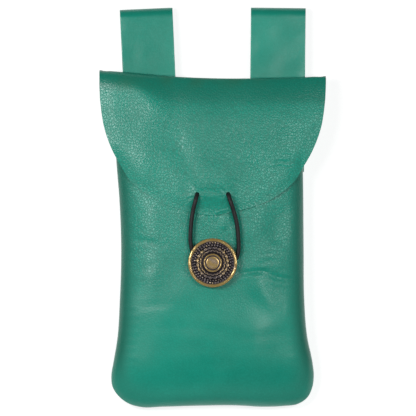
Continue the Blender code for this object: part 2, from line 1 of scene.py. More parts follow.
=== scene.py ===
# A green leather belt pouch with an elastic loop and a cast button, lying on a white table
# and seen from straight above. Metres throughout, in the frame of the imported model.
import math

import bmesh
import bpy
import numpy as np
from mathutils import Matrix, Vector


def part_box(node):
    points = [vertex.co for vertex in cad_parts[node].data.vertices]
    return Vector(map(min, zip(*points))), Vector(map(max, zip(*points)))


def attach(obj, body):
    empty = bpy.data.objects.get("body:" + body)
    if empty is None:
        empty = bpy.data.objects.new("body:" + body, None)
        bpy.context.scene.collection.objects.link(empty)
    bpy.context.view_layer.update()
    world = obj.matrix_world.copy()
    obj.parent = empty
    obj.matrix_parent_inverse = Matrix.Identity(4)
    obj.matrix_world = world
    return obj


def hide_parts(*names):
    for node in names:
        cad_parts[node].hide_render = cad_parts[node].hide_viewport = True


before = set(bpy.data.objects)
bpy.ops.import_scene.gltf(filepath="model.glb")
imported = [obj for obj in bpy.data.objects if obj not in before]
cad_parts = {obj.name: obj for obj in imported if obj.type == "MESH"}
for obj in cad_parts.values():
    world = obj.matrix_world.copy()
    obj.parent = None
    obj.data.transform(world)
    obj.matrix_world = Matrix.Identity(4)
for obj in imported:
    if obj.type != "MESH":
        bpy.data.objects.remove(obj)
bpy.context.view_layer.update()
print("loaded the frame:", ", ".join(sorted(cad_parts)))

# What every leather piece shares
leather = {
    "thickness": 0.0015,
    "clearance": 0.0003,
    "edgeRound": 0.00022,      # softening of the cut edges
}
half = leather["thickness"] / 2
layer = leather["thickness"] + leather["clearance"]

# Where things lie along the pouch, read from the solids
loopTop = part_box("belt_loop_left")[1].y
buttonLow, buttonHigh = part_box("button")
buttonLine = (buttonLow.y + buttonHigh.y) / 2
buttonRadius = (buttonHigh.x - buttonLow.x) / 2


def smoothLine(points, steps=30):
    # Points on a smooth curve through the given ones
    points = np.array(points, dtype=float)
    gaps = np.linalg.norm(np.diff(points, axis=0), axis=1)[:, None]
    slopes = np.diff(points, axis=0) / gaps
    turns = np.vstack([slopes[:1], (slopes[:-1] * gaps[1:] + slopes[1:] * gaps[:-1])
                       / (gaps[:-1] + gaps[1:]), slopes[-1:]])
    t = (np.arange(steps) / steps)[None, :, None]
    near, far = points[:-1, None], points[1:, None]
    line = (near * (1 - 3 * t ** 2 + 2 * t ** 3) + far * (3 * t ** 2 - 2 * t ** 3)
            + turns[:-1, None] * gaps[:, None] * (t - 2 * t ** 2 + t ** 3)
            + turns[1:, None] * gaps[:, None] * (t ** 3 - t ** 2))
    return np.vstack([line.reshape(-1, points.shape[1]), points[-1:]])


def curveThrough(table):
    # A function that reads a smooth curve through a table of two columns
    line = smoothLine(table)
    return lambda place: np.interp(place, line[:, 0], line[:, 1])


def ease(share):
    share = np.clip(share, 0.0, 1.0)
    return share * share * (3 - 2 * share)


def bump(distance, width):
    # A soft bell, 1 in the middle
    return np.exp(-(distance / width) ** 2)


def outlineOf(points):
    line = smoothLine(points)
    steps = np.hypot(*np.diff(line, axis=0).T)
    return {"x": line[:, 0], "y": line[:, 1], "t": np.concatenate(([0.0], np.cumsum(steps)))}


def pointOn(outline, t):
    return np.stack([np.interp(t, outline["t"], outline["x"]),
                     np.interp(t, outline["t"], outline["y"])], axis=-1)


def roundPlan(place, sides, front):
    # Points of an outline: down its left side, along its front or bottom, and up its right side
    left = [place(-row[1], row[0]) for row in sides]
    right = [place(row[2], row[0]) for row in reversed(sides)]
    return left, [place(*row) for row in front], right


def gapTo(spots, x, y):
    # Distance to the nearest of the given spots
    gap = np.full(np.shape(x), 1.0)
    for spot in spots:
        gap = np.minimum(gap, np.hypot(x - spot[0], y - spot[1]))
    return gap


def inwardAt(outline, t):
    # The lines run anticlockwise, so inside is to their left
    end = outline["t"][-1]
    along = (pointOn(outline, np.minimum(t + end / 400, end))
             - pointOn(outline, np.maximum(t - end / 400, 0.0)))
    inward = np.stack([-along[..., 1], along[..., 0]], axis=-1)
    return inward / np.linalg.norm(inward, axis=-1, keepdims=True)


def softWaves(x, y, length, seed, heading=None, spread=0.5, count=26):
    # Smooth uneven ground with waves of about the given length; a heading makes them run one way
    chance = np.random.default_rng(seed)
    if heading is None:
        headings = chance.uniform(0, 2 * math.pi, count)
    else:
        headings = math.radians(heading) + chance.normal(0, spread, count)
    total = 0.0
    for turn, phase, stretch in zip(headings, chance.uniform(0, 2 * math.pi, count),
                                    chance.uniform(0.7, 1.45, count)):
        pace = 2 * math.pi / (length * stretch)
        total = total + np.cos(pace * (x * math.cos(turn) + y * math.sin(turn)) + phase)
    return total * math.sqrt(2 / count)


def creaseNet(x, y, length, seed, heading=None, width=0.22):
    # Narrow valleys that wander and meet, from 0 between them to -1 in them
    return -bump(softWaves(x, y, length, seed, heading), width)


def creases(table, x, y):
    # Single creases, each a valley with a low ridge on both sides
    total = np.zeros_like(x)
    for name, midX, midY, reach, width, turn, bow, depth in table:
        angle = math.radians(turn)
        dx, dy = x * 1000 - midX, y * 1000 - midY
        along = (dx * math.cos(angle) + dy * math.sin(angle)) / reach
        across = dy * math.cos(angle) - dx * math.sin(angle) - bow * (1 - along ** 2)
        valley = bump(across, width) - 0.45 * bump(np.abs(across) - 2.1 * width, width)
        total -= depth / 1000 * valley * np.exp(-along ** 4)
    return total


# The body: a back panel and a domed front sewn together, turned, with the allowances inside
body = {
    "width": 0.0924,
    "length": 0.1662,
    "loopRise": 0.0358,        # from the top fold to the top of the belt loops
    "bellyDepth": 0.0215,
    "bottomRound": 0.0260,
    "mouthDrop": 0.0252,
    "seamAllowance": 0.0055,
    "seamRoll": 0.0012,
    "pucker": 0.00003,         # ripple that the stitches draw into the seam
    "stitch": 0.0042,
    "columns": 184,
    "rows": 205,
    "rollSteps": 6,
}

# Silhouette of the body's sides, as along (share of its length), left and right (shares of half
# its width)
bodySides = (
    (1.000, 1.080, 0.995),
    (0.848, 1.071, 0.990),
    (0.740, 1.050, 0.987),
    (0.632, 1.019, 0.991),
    (0.469, 1.000, 0.995),
    (0.325, 1.015, 1.002),
    (0.211, 1.041, 1.036),
    (0.138, 1.084, 1.091),
    (0.099, 1.107, 1.106),
    (0.066, 1.097, 1.093),
    (0.029, 1.006, 1.030),
)

# Bottom edge from left to right, as across and along
bodyBottom = (
    (-0.907, 0.0110),
    (-0.790, 0.0020),
    (-0.530, 0.0027),
    (-0.100, 0.0060),
    (0.260, 0.0065),
    (0.550, 0.0025),
    (0.780, 0.0050),
    (0.929, 0.0110),
)

# Depth of the front, and height of the seam, along the body (shares)
bellyCurve = curveThrough(((0.00, 0.83), (0.15, 0.92), (0.33, 0.99), (0.44, 1.00),
                           (0.62, 0.99), (0.75, 0.95), (0.85, 0.90), (1.00, 0.86)))
seamCurve = curveThrough(((0.000, 0.200), (0.060, 0.215), (0.250, 0.330), (0.620, 0.340),
                          (0.848, 0.600)))

bottomLine = loopTop - body["loopRise"] - body["length"]
foldLine = bottomLine + body["length"]
mouthLine = foldLine - body["mouthDrop"]
halfBody = body["width"] / 2

# Belt loops: straps folded over at the top, both ends sewn behind the back panel
beltLoop = {
    "width": 0.0271,
    "opening": 0.0050,
    "sewn": 0.0100,
    "spread": 0.0180,
    "drop": 0.0472,
    "backRamp": 0.0160,
    "swell": 0.00007,
    "swellLength": 0.016,
    "fineWrinkle": 0.00003,
    "fineLength": 0.0048,
    "edgeDrop": 0.00012,       # how much the straps' edges curl down
    "columns": 46,
    "rowLength": 0.00075,
}

# The two straps, as node, centre (share of half the body's width), width (share), lean (degrees)
# and seed of the unevenness
beltStraps = {
    "beltLoopLeft": ("belt_loop_left", -0.693, 0.980, 2.6, 51),
    "beltLoopRight": ("belt_loop_right", 0.710, 1.020, -0.6, 61),
}
loopEnd = foldLine - beltLoop["drop"]
sewnTop = loopEnd + beltLoop["sewn"]
spreadTop = sewnTop + beltLoop["spread"]
sewnHeight = half + layer
openHeight = leather["thickness"] * 1.5 + beltLoop["opening"]
slopeLines = (loopEnd - beltLoop["backRamp"], loopEnd, sewnTop, spreadTop)


def softened(lines, heights, y, reach=0.0022):
    # A bent line with its corners eased
    return sum(share * np.interp(y + shift * reach, lines, heights)
               for shift, share in ((-1.0, 0.25), (0.0, 0.5), (1.0, 0.25)))


def backHeight(y):
    shelf = sewnHeight + layer
    return softened(slopeLines, (half, shelf, shelf, openHeight + layer), y)


def legHeight(y):
    return softened(slopeLines[1:], (sewnHeight, sewnHeight, openHeight), y)


def alongBody(y):
    return (y - bottomLine) / body["length"]


def seamHeight(y):
    return body["bellyDepth"] * seamCurve(alongBody(y))


def backRoll(y):
    return (seamHeight(y) - layer / 2 - backHeight(y)) / 2


def panelEdge(y):
    return seamHeight(y) + layer / 2 + body["seamRoll"]


def crown(y):
    return body["bellyDepth"] * bellyCurve(alongBody(y))


def bodyPlace(across, along):
    return across * halfBody, bottomLine + along * body["length"]


def makeBodyOutline():
    left, bottom, right = roundPlan(bodyPlace, bodySides, bodyBottom)
    outline = outlineOf(left + bottom + right)
    steps = (len(outline["t"]) - 1) // (len(left + bottom + right) - 1)
    first, last = (len(left) - 1) * steps, (len(left) + len(bottom)) * steps
    return outline, outline["t"][first], outline["t"][last]


bodyLine, leftCorner, rightCorner = makeBodyOutline()
cornerLine = bottomLine + bodySides[-1][0] * body["length"]


def sidePlace(side, y):
    # How far along the outline its left or right side passes a height
    if side < 0:
        keep = bodyLine["t"] <= leftCorner
        return np.interp(-y, -bodyLine["y"][keep], bodyLine["t"][keep])
    keep = bodyLine["t"] >= rightCorner
    return np.interp(y, bodyLine["y"][keep], bodyLine["t"][keep])


def columnShares(columns):
    # From 0 to 1, closer together near the sides
    even = np.linspace(0, 1, columns + 1)
    return 0.4 * even + 0.6 * (1 + np.sin(math.pi * (even - 0.5))) / 2


def bodyPlan(rows, shares, inset):
    # Plan of the body moved in from its outline: rows of points, and the places of the rim
    def moved(t):
        point = pointOn(bodyLine, t)
        return point + inwardAt(bodyLine, t) * inset(point[..., 1])[..., None]

    lowT = leftCorner + (rightCorner - leftCorner) * shares
    leftT, rightT = sidePlace(-1, rows), sidePlace(1, rows)
    low, left, right = moved(lowT), moved(leftT), moved(rightT)
    bow = np.maximum(0.0, 1 - (rows - cornerLine) / body["bottomRound"]) ** 2
    share = shares[None, :, None]
    grid = left[:, None] * (1 - share) + right[:, None] * share
    straight = low[0] * (1 - shares[:, None]) + low[-1] * shares[:, None]
    grid = grid + (low - straight)[None] * bow[:, None, None]
    grid[0] = low
    return grid, leftT, lowT, rightT


innerLine = pointOn(bodyLine, bodyLine["t"]) + inwardAt(bodyLine, bodyLine["t"]) * half
leftLow = int(np.argmin(np.where(innerLine[:, 0] < 0, innerLine[:, 1], 1.0)))
rightLow = int(np.argmin(np.where(innerLine[:, 0] > 0, innerLine[:, 1], 1.0)))
lowerPart = innerLine[:, 1] < bottomLine + body["length"] / 4
leftWide = int(np.argmin(np.where(lowerPart, innerLine[:, 0], 0.0)))
rightWide = int(np.argmax(np.where(lowerPart, innerLine[:, 0], 0.0)))

# Wrinkles of the front panel, in mm and degrees: middle x and y, half length, half width, turn,
# bow, depth. A depth under 0 is a ridge
panelWrinkles = (
    ("crease right of the button", 20.5, -33.0, 7.5, 1.2, 6.0, 0.6, 0.34),
    ("its end by the side", 36.0, -35.2, 8.5, 1.3, -9.0, -0.8, 0.40),
    ("crease above it", 30.0, -24.6, 8.0, 1.8, 14.0, 0.5, 0.18),
    ("crease below it", 31.0, -45.0, 9.0, 2.4, -55.0, 0.6, 0.16),
    ("fold left of the button", -34.5, -17.8, 8.0, 1.4, -8.0, 0.9, 0.24),
    ("second fold there", -35.5, -30.0, 7.0, 2.2, 10.0, -0.5, 0.22),
    ("slant in the left light", -32.0, -7.5, 8.5, 1.4, -46.0, 0.4, 0.07),
    ("low crease at the left", -30.0, -50.0, 9.0, 1.8, 6.0, 0.8, 0.06),
    ("long faint crease", -10.0, -62.0, 19.0, 2.4, -4.0, 1.0, 0.06),
    ("faint crease at the right", 25.0, -64.0, 14.0, 2.2, 7.0, -0.8, 0.06),
    ("lowest crease", 6.0, -80.0, 22.0, 2.4, 2.0, 1.2, 0.05),
    ("soft dent below the flap at the right", 34.0, -9.0, 10.0, 6.0, 78.0, 0.0, 1.30),
    ("soft dent at the left side", -42.5, -8.0, 11.0, 6.0, 88.0, 0.0, 0.95),
    ("soft dent lower at the left", -43.0, -33.0, 13.0, 6.0, 92.0, 0.0, 0.60),
    ("soft ridge right of the button", 29.5, -29.0, 9.0, 2.6, -6.0, 0.0, -0.34),
    ("soft ridge below it", 27.0, -42.0, 10.0, 4.0, -58.0, 0.0, -0.34),
    ("soft swelling low at the right", 22.0, -70.0, 15.0, 7.0, 84.0, 0.0, -0.70),
    ("swelling between the strands", 6.6, -6.0, 4.5, 2.0, 75.0, 0.0, -0.40),
)

panel = {
    "sideFullness": (3.0, 0.45),       # powers of the dome's curve across
    "bottomFullness": (2.2, 0.5),      # powers of its curve up from the bottom
    "swell": 0.00018,          # uneven ground of the soft leather
    "swellLength": 0.023,
    "fineWrinkle": 0.00004,
    "fineLength": 0.0052,
    "wrinkledFrom": -0.068,    # below this line the leather is smoother
    "sidesFrom": 0.016,        # and inside this distance from the middle
    "lowerSlope": 0.0006,      # how much lower the lower left lies
    "slopeFrom": (0.008, -0.050),
    "buttonCalm": 0.7,         # how far the button holds the leather flat under it
    "calmRadius": 0.011,
    "crumple": 0.00012,        # crumpled patch inside the right strand
    "crumplePlace": (0.0070, -0.0070),
    "crumpleRadius": 0.0036,
    "crumpleLength": 0.0030,
    "strandDent": 0.00022,     # how deep the strands press in
    "dentWidth": 0.0021,
}


def panelForm(x, y):
    # Middle of the front panel's leather, without its wrinkles, and how much of the dome is there
    leftHalf = np.interp(-y, -innerLine[:leftLow + 1, 1], -innerLine[:leftLow + 1, 0])
    rightHalf = np.interp(y, innerLine[rightLow:, 1], innerLine[rightLow:, 0])
    reach = np.where(x < 0, leftHalf, rightHalf)
    low = np.interp(x, innerLine[leftWide:rightWide + 1, 0], innerLine[leftWide:rightWide + 1, 1])
    power, root = panel["sideFullness"]
    across = np.maximum(0.0, 1 - np.minimum(1.0, np.abs(x) / reach) ** power) ** root
    power, root = panel["bottomFullness"]
    rise = np.clip((y - low) / body["bottomRound"], 0.0, 1.0)
    form = across * (1 - (1 - rise) ** power) ** root
    edge = panelEdge(y)
    return edge + (crown(y) - half - edge) * form, form


def besideHoles(x):
    # How far a place is to the side of the stretch from hole to hole
    return np.maximum(np.abs(x) - flap["holeSpacing"] / 2, 0.0)


def elasticNear(x, y, width):
    # 1 under the elastic, falling to 0 beside it
    spots = [spot for strand in elasticStrands for spot in strand[::2]]
    return bump(gapTo(spots, x, y), width)


def panelHeight(x, y):
    # The form with the swellings, wrinkles and creases of worn leather
    height, form = panelForm(x, y)
    calm = form * (1 - panel["buttonCalm"] * bump(np.hypot(x, y - buttonLine), panel["calmRadius"]))
    upper = ease((y - panel["wrinkledFrom"]) / 0.05)
    sides = ease((np.abs(x) - panel["sidesFrom"]) / 0.018)
    swell = panel["swell"] * softWaves(x, y, panel["swellLength"], 5) * (0.45 + 0.55 * upper)
    fine = panel["fineWrinkle"] * creaseNet(x, y, panel["fineLength"], 11, 62, 0.3)
    patchX, patchY = panel["crumplePlace"]
    crumple = bump(np.hypot(x - patchX, (y - patchY) * 0.7), panel["crumpleRadius"])
    net = creaseNet(x, y, panel["crumpleLength"], 13, None, 0.4)
    fine = fine + panel["crumple"] * crumple * net
    height = height + calm * (swell + fine * upper * (0.25 + 0.75 * sides))
    height = height + form * creases(panelWrinkles, x, y)
    cornerX, cornerY = panel["slopeFrom"]
    corner = ease((cornerY - y) / 0.030) * ease((cornerX - x) / 0.030)
    height = height - panel["lowerSlope"] * form * corner
    bed = bump(besideHoles(x), 0.0045) * bump(y - holeLine, 0.0042)
    height = height - elasticLoop["sink"] * bed
    return height - form * panel["strandDent"] * elasticNear(x, y, panel["dentWidth"])


# The flap, cut with its sides straight and its front round, and the soft fold over the top
flap = {
    "width": 0.1143,
    "length": 0.0692,
    "droop": 0.0035,
    "foldRadius": 0.0060,
    "shoulder": 0.0180,        # length over which the leather rounds into the fold, at the middle
    "shoulderLeft": 0.0035,    # the same at the left end
    "shoulderSlope": 1.36,     # over 1 the shoulder is more of a slope, at 1 it is round
    "seamTaper": 0.0130,
    "taperNotch": 0.0030,
    "holeInset": 0.0107,
    "holeSpacing": 0.0157,
    "holeClearance": 0.00005,
    "humpBehind": 0.0155,      # how far behind the holes the elastic under it lifts the flap
    "humpAhead": 0.0085,       # the same towards the tip
    "hug": 0.90,               # how far the front edge settles onto the body
    "hugStart": 0.034,
    "hugLength": 0.030,
    "hugMost": 0.0042,
    "skive": 0.62,             # share of the thickness pared off at the edge
    "skiveWidth": 0.007,
    "swell": 0.00015,
    "swellLength": 0.026,
    "fineWrinkle": 0.00004,
    "fineLength": 0.0046,
    "finePlace": (0.037, 0.024),       # middle of the right side's finely wrinkled patch
    "fineReach": 0.017,
    "pucker": 0.00010,         # short folds round the holes
    "puckerCount": 9,
    "puckerRadius": 0.0034,
    "dimple": 0.00012,         # how far the holes are drawn in
    "pull": 0.00022,           # rise above each hole, where the elastic pulls
    "strandDent": 0.00026,     # how deep the strands press in
    "dentWidth": 0.0020,
    "backRows": 46,
    "taperRows": 14,
    "foldRows": 30,
    "rows": 118,
    "allowanceSteps": 9,
}
tipLine = foldLine - flap["length"]
holeLine = tipLine + flap["holeInset"]
halfFlap = flap["width"] / 2

# Silhouette of the flap's sides, as down (share of its length), left and right (shares of half
# its width)
flapSides = (
    (-0.06, 1.000, 1.000),
    (0.06, 1.000, 1.000),
    (0.19, 0.990, 0.990),
    (0.36, 0.957, 0.956),
    (0.54, 0.877, 0.873),
    (0.65, 0.800, 0.797),
    (0.74, 0.735, 0.732),
)

# Its front curve from left to right, as across and down
flapFront = (
    (-0.633, 0.812),
    (-0.500, 0.885),
    (-0.340, 0.942),
    (-0.150, 0.983),
    (0.000, 1.000),
    (0.150, 0.978),
    (0.334, 0.942),
    (0.504, 0.887),
    (0.640, 0.812),
)

# Line of the top fold, as across and rise (share of the fold's radius)
foldCurve = curveThrough(((-1.00, 0.72), (-0.77, 0.52), (-0.33, 0.15), (0.10, 0.00),
                          (0.45, 0.02), (0.80, 0.10), (1.00, 0.22)))

# Wrinkles of the flap, in the same columns as the panel's
flapWrinkles = (
    ("short crease at the right", 34.5, 23.2, 4.2, 0.6, 2.0, 0.2, 0.14),
    ("its neighbour above", 38.5, 26.2, 3.6, 0.6, -14.0, 0.2, 0.07),
    ("its neighbour below", 31.0, 20.0, 5.0, 0.7, 10.0, 0.2, 0.06),
    ("crease under the fold, right", 22.0, 51.0, 10.0, 0.9, -6.0, 0.4, 0.06),
    ("crease under the fold, middle", 2.0, 47.5, 9.0, 1.0, 12.0, 0.4, 0.05),
    ("soft slant to the left hole", -12.0, 24.0, 20.0, 4.0, 118.0, 1.2, 0.32),
    ("soft dent right of the middle", 10.0, 30.0, 16.0, 7.0, 105.0, 0.0, 0.50),
    ("soft dent at the right side", 47.0, 33.0, 14.0, 5.0, 70.0, 0.0, 0.30),
    ("soft slant beside it", -2.0, 22.0, 17.0, 3.6, 112.0, 0.8, 0.12),
    ("tuck at the tip", 5.2, -2.6, 3.6, 0.4, 16.0, 0.3, 0.30),
)


def droopAt(x):
    return flap["droop"] * np.minimum(1.0, np.abs(x) / halfFlap) ** 2.5


def foldRadius(x):
    return flap["foldRadius"] - droopAt(x) / 2


def foldStart(x):
    rise = flap["foldRadius"] * foldCurve(x / halfFlap)
    return foldLine + rise - foldRadius(x) - half


def flapForm(x, y):
    # Middle of the flap's leather, without wrinkles, from the fold onto the front panel
    start = foldStart(0.0)
    low = np.minimum(y, start)
    rest = crown(low) + half + leather["clearance"]
    foldTop = backHeight(start) + 2 * flap["foldRadius"]
    lift = foldTop - crown(start) - half - leather["clearance"]
    share = np.maximum(0.0, (low - tipLine) / (start - tipLine))
    elastic = elasticLoop["diameter"] + 2 * leather["clearance"] - elasticLoop["sink"]
    reach = np.where(y > holeLine, flap["humpBehind"], flap["humpAhead"])
    swell = np.exp(-(x / flap["holeSpacing"]) ** 4 - np.abs((y - holeLine) / reach) ** 3)
    return rest + lift * share ** 2 - droopAt(x) + elastic * swell


def holePuckers(x, y):
    # Short folds that run out from the two cord holes, and the dimple round each
    total = np.zeros_like(x)
    for side, phase in ((-1, 0.4), (1, 1.9)):
        dx, dy = x - side * flap["holeSpacing"] / 2, y - holeLine
        away = np.hypot(dx, dy)
        spokes = np.cos(flap["puckerCount"] * np.arctan2(dy, dx) + phase + 260 * away)
        total += flap["pucker"] * spokes * bump(away - flap["puckerRadius"], 0.0019)
        total -= flap["dimple"] * bump(away, 0.0030)
        total += flap["pull"] * bump(np.hypot(dx * 0.6, dy - 0.0052), 0.0030)
    return total


def flapHeight(x, y):
    # The form as it drapes: rounded towards the fold, settled on the body, wrinkled by use
    height = flapForm(x, y)
    lifted = bump(besideHoles(x), 0.0035) * bump(y - holeLine, 0.0042)
    down = ease((flap["hugStart"] - y) / flap["hugLength"]) * (1 - lifted)
    under = panelForm(x, np.minimum(y, mouthLine - 0.001))[0] + layer
    height = height - flap["hug"] * down * np.clip(height - under, 0.0, flap["hugMost"])
    calm = 1 - 0.6 * elasticNear(x, y, 0.004)        # taut leather beside the strands
    height = height + calm * flap["swell"] * softWaves(x, y, flap["swellLength"], 21)
    fine = creaseNet(x, y, flap["fineLength"], 31, 75, 0.3)
    patchX, patchY = flap["finePlace"]
    patch = 0.35 + 0.65 * np.maximum(bump(np.hypot(x - patchX, y - patchY), flap["fineReach"]),
                                     bump(np.hypot(x, y - holeLine), 0.014))
    height = height + flap["fineWrinkle"] * fine * patch
    height = height + creases(flapWrinkles, x, y) + holePuckers(x, y)
    dent = flap["strandDent"] * elasticNear(x, y, flap["dentWidth"])
    return height - dent * ease((holeLine - y) / 0.002)


def fromLeft(x):
    # 0 at the fold's left end, where it is tight, and 1 over the rest
    return ease((x + 0.042) / 0.024)


def shoulderAt(x):
    # How long the leather takes to round into the fold
    left, middle = flap["shoulderLeft"], flap["shoulder"]
    return left + (middle - left) * fromLeft(x)


def foldSection(x, angle):
    # Place and height on the fold: a round half behind, and a longer, flatter one in front
    start, radius = foldStart(x), foldRadius(x)
    centre = backHeight(start) + radius
    top = flapHeight(x, start - shoulderAt(x))
    out = start + radius * np.sin(np.minimum(angle, math.pi / 2))
    height = centre - radius * np.cos(angle)
    turn = np.clip(angle - math.pi / 2, 0.0, math.pi / 2)
    power = 1 + (flap["shoulderSlope"] - 1) * fromLeft(x)
    front = start + radius - (radius + shoulderAt(x)) * (1 - np.cos(turn) ** power)
    up = centre + (top - centre) * np.sin(turn) ** power
    behind = angle <= math.pi / 2
    return np.where(behind, out, front), np.where(behind, height, up)


# The elastic: one closed ring through both holes and round the button's post
elasticLoop = {
    "diameter": 0.0022,
    "braid": 0.00006,          # height of the plaited strands
    "plait": 0.0013,           # length of one crossing
    "ringLength": 0.00019,
    "sides": 36,
    "sink": 0.0012,            # how deep its hidden stretch beds into the front panel
    "post": 0.0040,
    "dark": (0.002, 0.002, 0.002),
    "black": (0.020, 0.018, 0.018),
}

# Its two strands from the holes to the post, as down (share of the way to the button's centre),
# left and right (shares of the button's radius)
elasticRoute = (
    (0.13, 0.728, 0.745),
    (0.26, 0.809, 0.865),
    (0.39, 0.860, 0.960),
    (0.55, 0.895, 1.025),
    (0.70, 0.895, 1.048),
    (0.82, 0.830, 1.045),
    (0.93, 0.680, 0.960),
    (1.03, 0.450, 0.640),
)


def strandPlan(side, column):
    top = [(side * flap["holeSpacing"] / 2, holeLine)]
    return top + [(side * row[column] * buttonRadius, holeLine - row[0] * (holeLine - buttonLine))
                  for row in elasticRoute]


elasticStrands = [smoothLine(strandPlan(side, column), 8) for side, column in ((-1, 1), (1, 2))]


def taut(points):
    # A stretched elastic crosses the hollows between the places that it touches
    spots = np.array(points)
    away = np.concatenate(([0.0], np.cumsum(np.hypot(*np.diff(spots[:, :2], axis=0).T))))
    for first in range(len(spots)):
        for last in range(first + 2, len(spots)):
            line = np.interp(away[first:last + 1], away[[first, last]], spots[[first, last], 2])
            spots[first:last + 1, 2] = np.maximum(spots[first:last + 1, 2], line)
    return [tuple(spot) for spot in spots]


def elasticPath():
    # The ring's middle line, as in the solids: it lies on the flap, then settles onto the panel
    hole = flap["holeSpacing"] / 2
    thick = elasticLoop["diameter"]
    under = crown(holeLine) - elasticLoop["sink"] + leather["clearance"] + thick / 2
    sheet = float(flapForm(hole, holeLine))
    bend = sheet - under
    settle = (tipLine - leather["thickness"] - thick, tipLine - leather["thickness"] - thick * 4)

    def lies(x, y):
        over = float(flapForm(x, max(y, tipLine))) + half
        on = float(panelForm(np.array(x), np.array(y))[0]) + half
        share = float(ease((settle[0] - y) / (settle[0] - settle[1])))
        return over + (on - over) * share + leather["clearance"] + thick / 2

    def strand(side, column):
        x, corner, top = side * hole, bend * (1 - math.sqrt(0.5)), sheet + bend
        plan = strandPlan(side, column)
        lean = (plan[2][0] - x) / (holeLine - plan[2][1])
        points = [(x - side * bend, holeLine, under), (x - side * corner, holeLine, under + corner),
                  (x, holeLine, sheet), (x + lean * corner, holeLine - corner, top - corner),
                  (x + lean * bend, holeLine - bend, max(top, lies(x, holeLine - bend)))]
        for spotX, spotY in plan[2:]:
            if spotY < holeLine - bend - thick / 2:
                points.append((spotX, spotY, lies(spotX, spotY)))
        return points[:4] + taut(points[4:])

    low = buttonLine - elasticLoop["post"] / 2 - leather["clearance"] - thick / 2
    route = ([(0.0, holeLine, under)] + strand(1, 2) + [(0.0, low, lies(0.0, low))]
             + strand(-1, 1)[::-1] + [(0.0, holeLine, under)])
    line = smoothLine(route)
    lengths = np.concatenate(([0.0], np.cumsum(np.linalg.norm(np.diff(line, axis=0), axis=1))))
    count = int(lengths[-1] / elasticLoop["ringLength"])
    places = np.linspace(0.0, lengths[-1], count, endpoint=False)
    path = np.stack([np.interp(places, lengths, line[:, axis]) for axis in range(3)], axis=1)
    return path, lengths[-1]


def meshFrom(name, verts, quads, attributes=None):
    mesh = bpy.data.meshes.new(name)
    mesh.vertices.add(len(verts))
    mesh.vertices.foreach_set("co", np.asarray(verts, dtype=np.float32).ravel())
    mesh.loops.add(len(quads) * 4)
    mesh.loops.foreach_set("vertex_index", np.asarray(quads, dtype=np.int32).ravel())
    mesh.polygons.add(len(quads))
    mesh.polygons.foreach_set("loop_start", np.arange(len(quads), dtype=np.int32) * 4)
    for label, values in (attributes or {}).items():
        mark = mesh.attributes.new(label, "FLOAT", "POINT")
        mark.data.foreach_set("value", np.asarray(values, dtype=np.float32))
    mesh.update(calc_edges=True)
    mesh.validate()
    return mesh


def addObject(name, data):
    made = bpy.data.objects.new(name, data)
    bpy.context.scene.collection.objects.link(made)
    return made


def meshOf(name, form):
    mesh = bpy.data.meshes.new(name)
    form.to_mesh(mesh)
    form.free()
    return mesh


def addPiece(name, mesh, materials, node):
    piece = addObject(name, mesh)
    for material in materials:
        mesh.materials.append(material)
    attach(piece, "root")
    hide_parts(node)
    return piece


def settleModifiers(piece):
    # Keep what the modifiers make as the piece's own mesh
    graph = bpy.context.evaluated_depsgraph_get()
    shape = bpy.data.meshes.new_from_object(piece.evaluated_get(graph))
    shape.name = piece.name
    piece.modifiers.clear()
    piece.data = shape
    shape.shade_smooth()
    shape.set_sharp_from_angle(angle=math.radians(55))


def quadsOf(index, flip):
    corners = (index[:-1, :-1], index[:-1, 1:], index[1:, 1:], index[1:, :-1])
    if flip:
        corners = corners[::-1]
    return np.stack([corner.ravel() for corner in corners], axis=1)


def sheetMesh(name, grid, left, right, low, flip, attributes):
    # A grid of points with strips beyond its left, right and lower edges
    rows, columns = grid.shape[:2]
    strips = left.shape[1]
    gridIndex = np.arange(rows * columns).reshape(rows, columns)
    start = rows * columns
    lowIndex = start + np.arange(columns * strips).reshape(columns, strips)
    start += columns * strips
    leftIndex = start + np.arange(rows * strips).reshape(rows, strips) - strips
    start += (rows - 1) * strips
    rightIndex = start + np.arange(rows * strips).reshape(rows, strips) - strips
    leftIndex[0], rightIndex[0] = lowIndex[0], lowIndex[-1]
    wide = np.hstack([leftIndex[:, ::-1], gridIndex, rightIndex])
    tall = np.vstack([lowIndex.T[::-1], gridIndex[:1]])
    verts = np.vstack([grid.reshape(-1, 3), low.reshape(-1, 3), left[1:].reshape(-1, 3),
                       right[1:].reshape(-1, 3)])
    quads = np.vstack([quadsOf(wide, flip), quadsOf(tall, flip)])
    values = {label: rule(verts) for label, rule in attributes.items()}
    return meshFrom(name, verts, quads, values)


def thicken(piece, vertexGroup=None, thinnest=1.0):
    # Grain outside, flesh inside, raw edges round it; the vertex group says where it is pared
    solid = piece.modifiers.new("leather thickness", "SOLIDIFY")
    solid.thickness = leather["thickness"]
    solid.offset = 0.0
    solid.use_even_offset = True
    solid.use_quality_normals = True
    solid.material_offset = 1
    solid.material_offset_rim = 2
    if vertexGroup:
        solid.vertex_group = vertexGroup
        solid.thickness_vertex_group = thinnest
    settleModifiers(piece)


def cutHoles(piece, name, holes, depth=0.006):
    # Round holes along Z, as (x, y, z, diameter), cut with one hidden shape
    form = bmesh.new()
    for x, y, z, diameter in holes:
        made = bmesh.ops.create_cone(form, cap_ends=True, segments=40, radius1=diameter / 2,
                                     radius2=diameter / 2, depth=depth)
        bmesh.ops.translate(form, verts=made["verts"], vec=(x, y, z))
    cutter = addObject(name, meshOf(name, form))
    cut = piece.modifiers.new(name, "BOOLEAN")
    cut.operation = "DIFFERENCE"
    cut.object = cutter
    settleModifiers(piece)
    bpy.data.objects.remove(cutter)


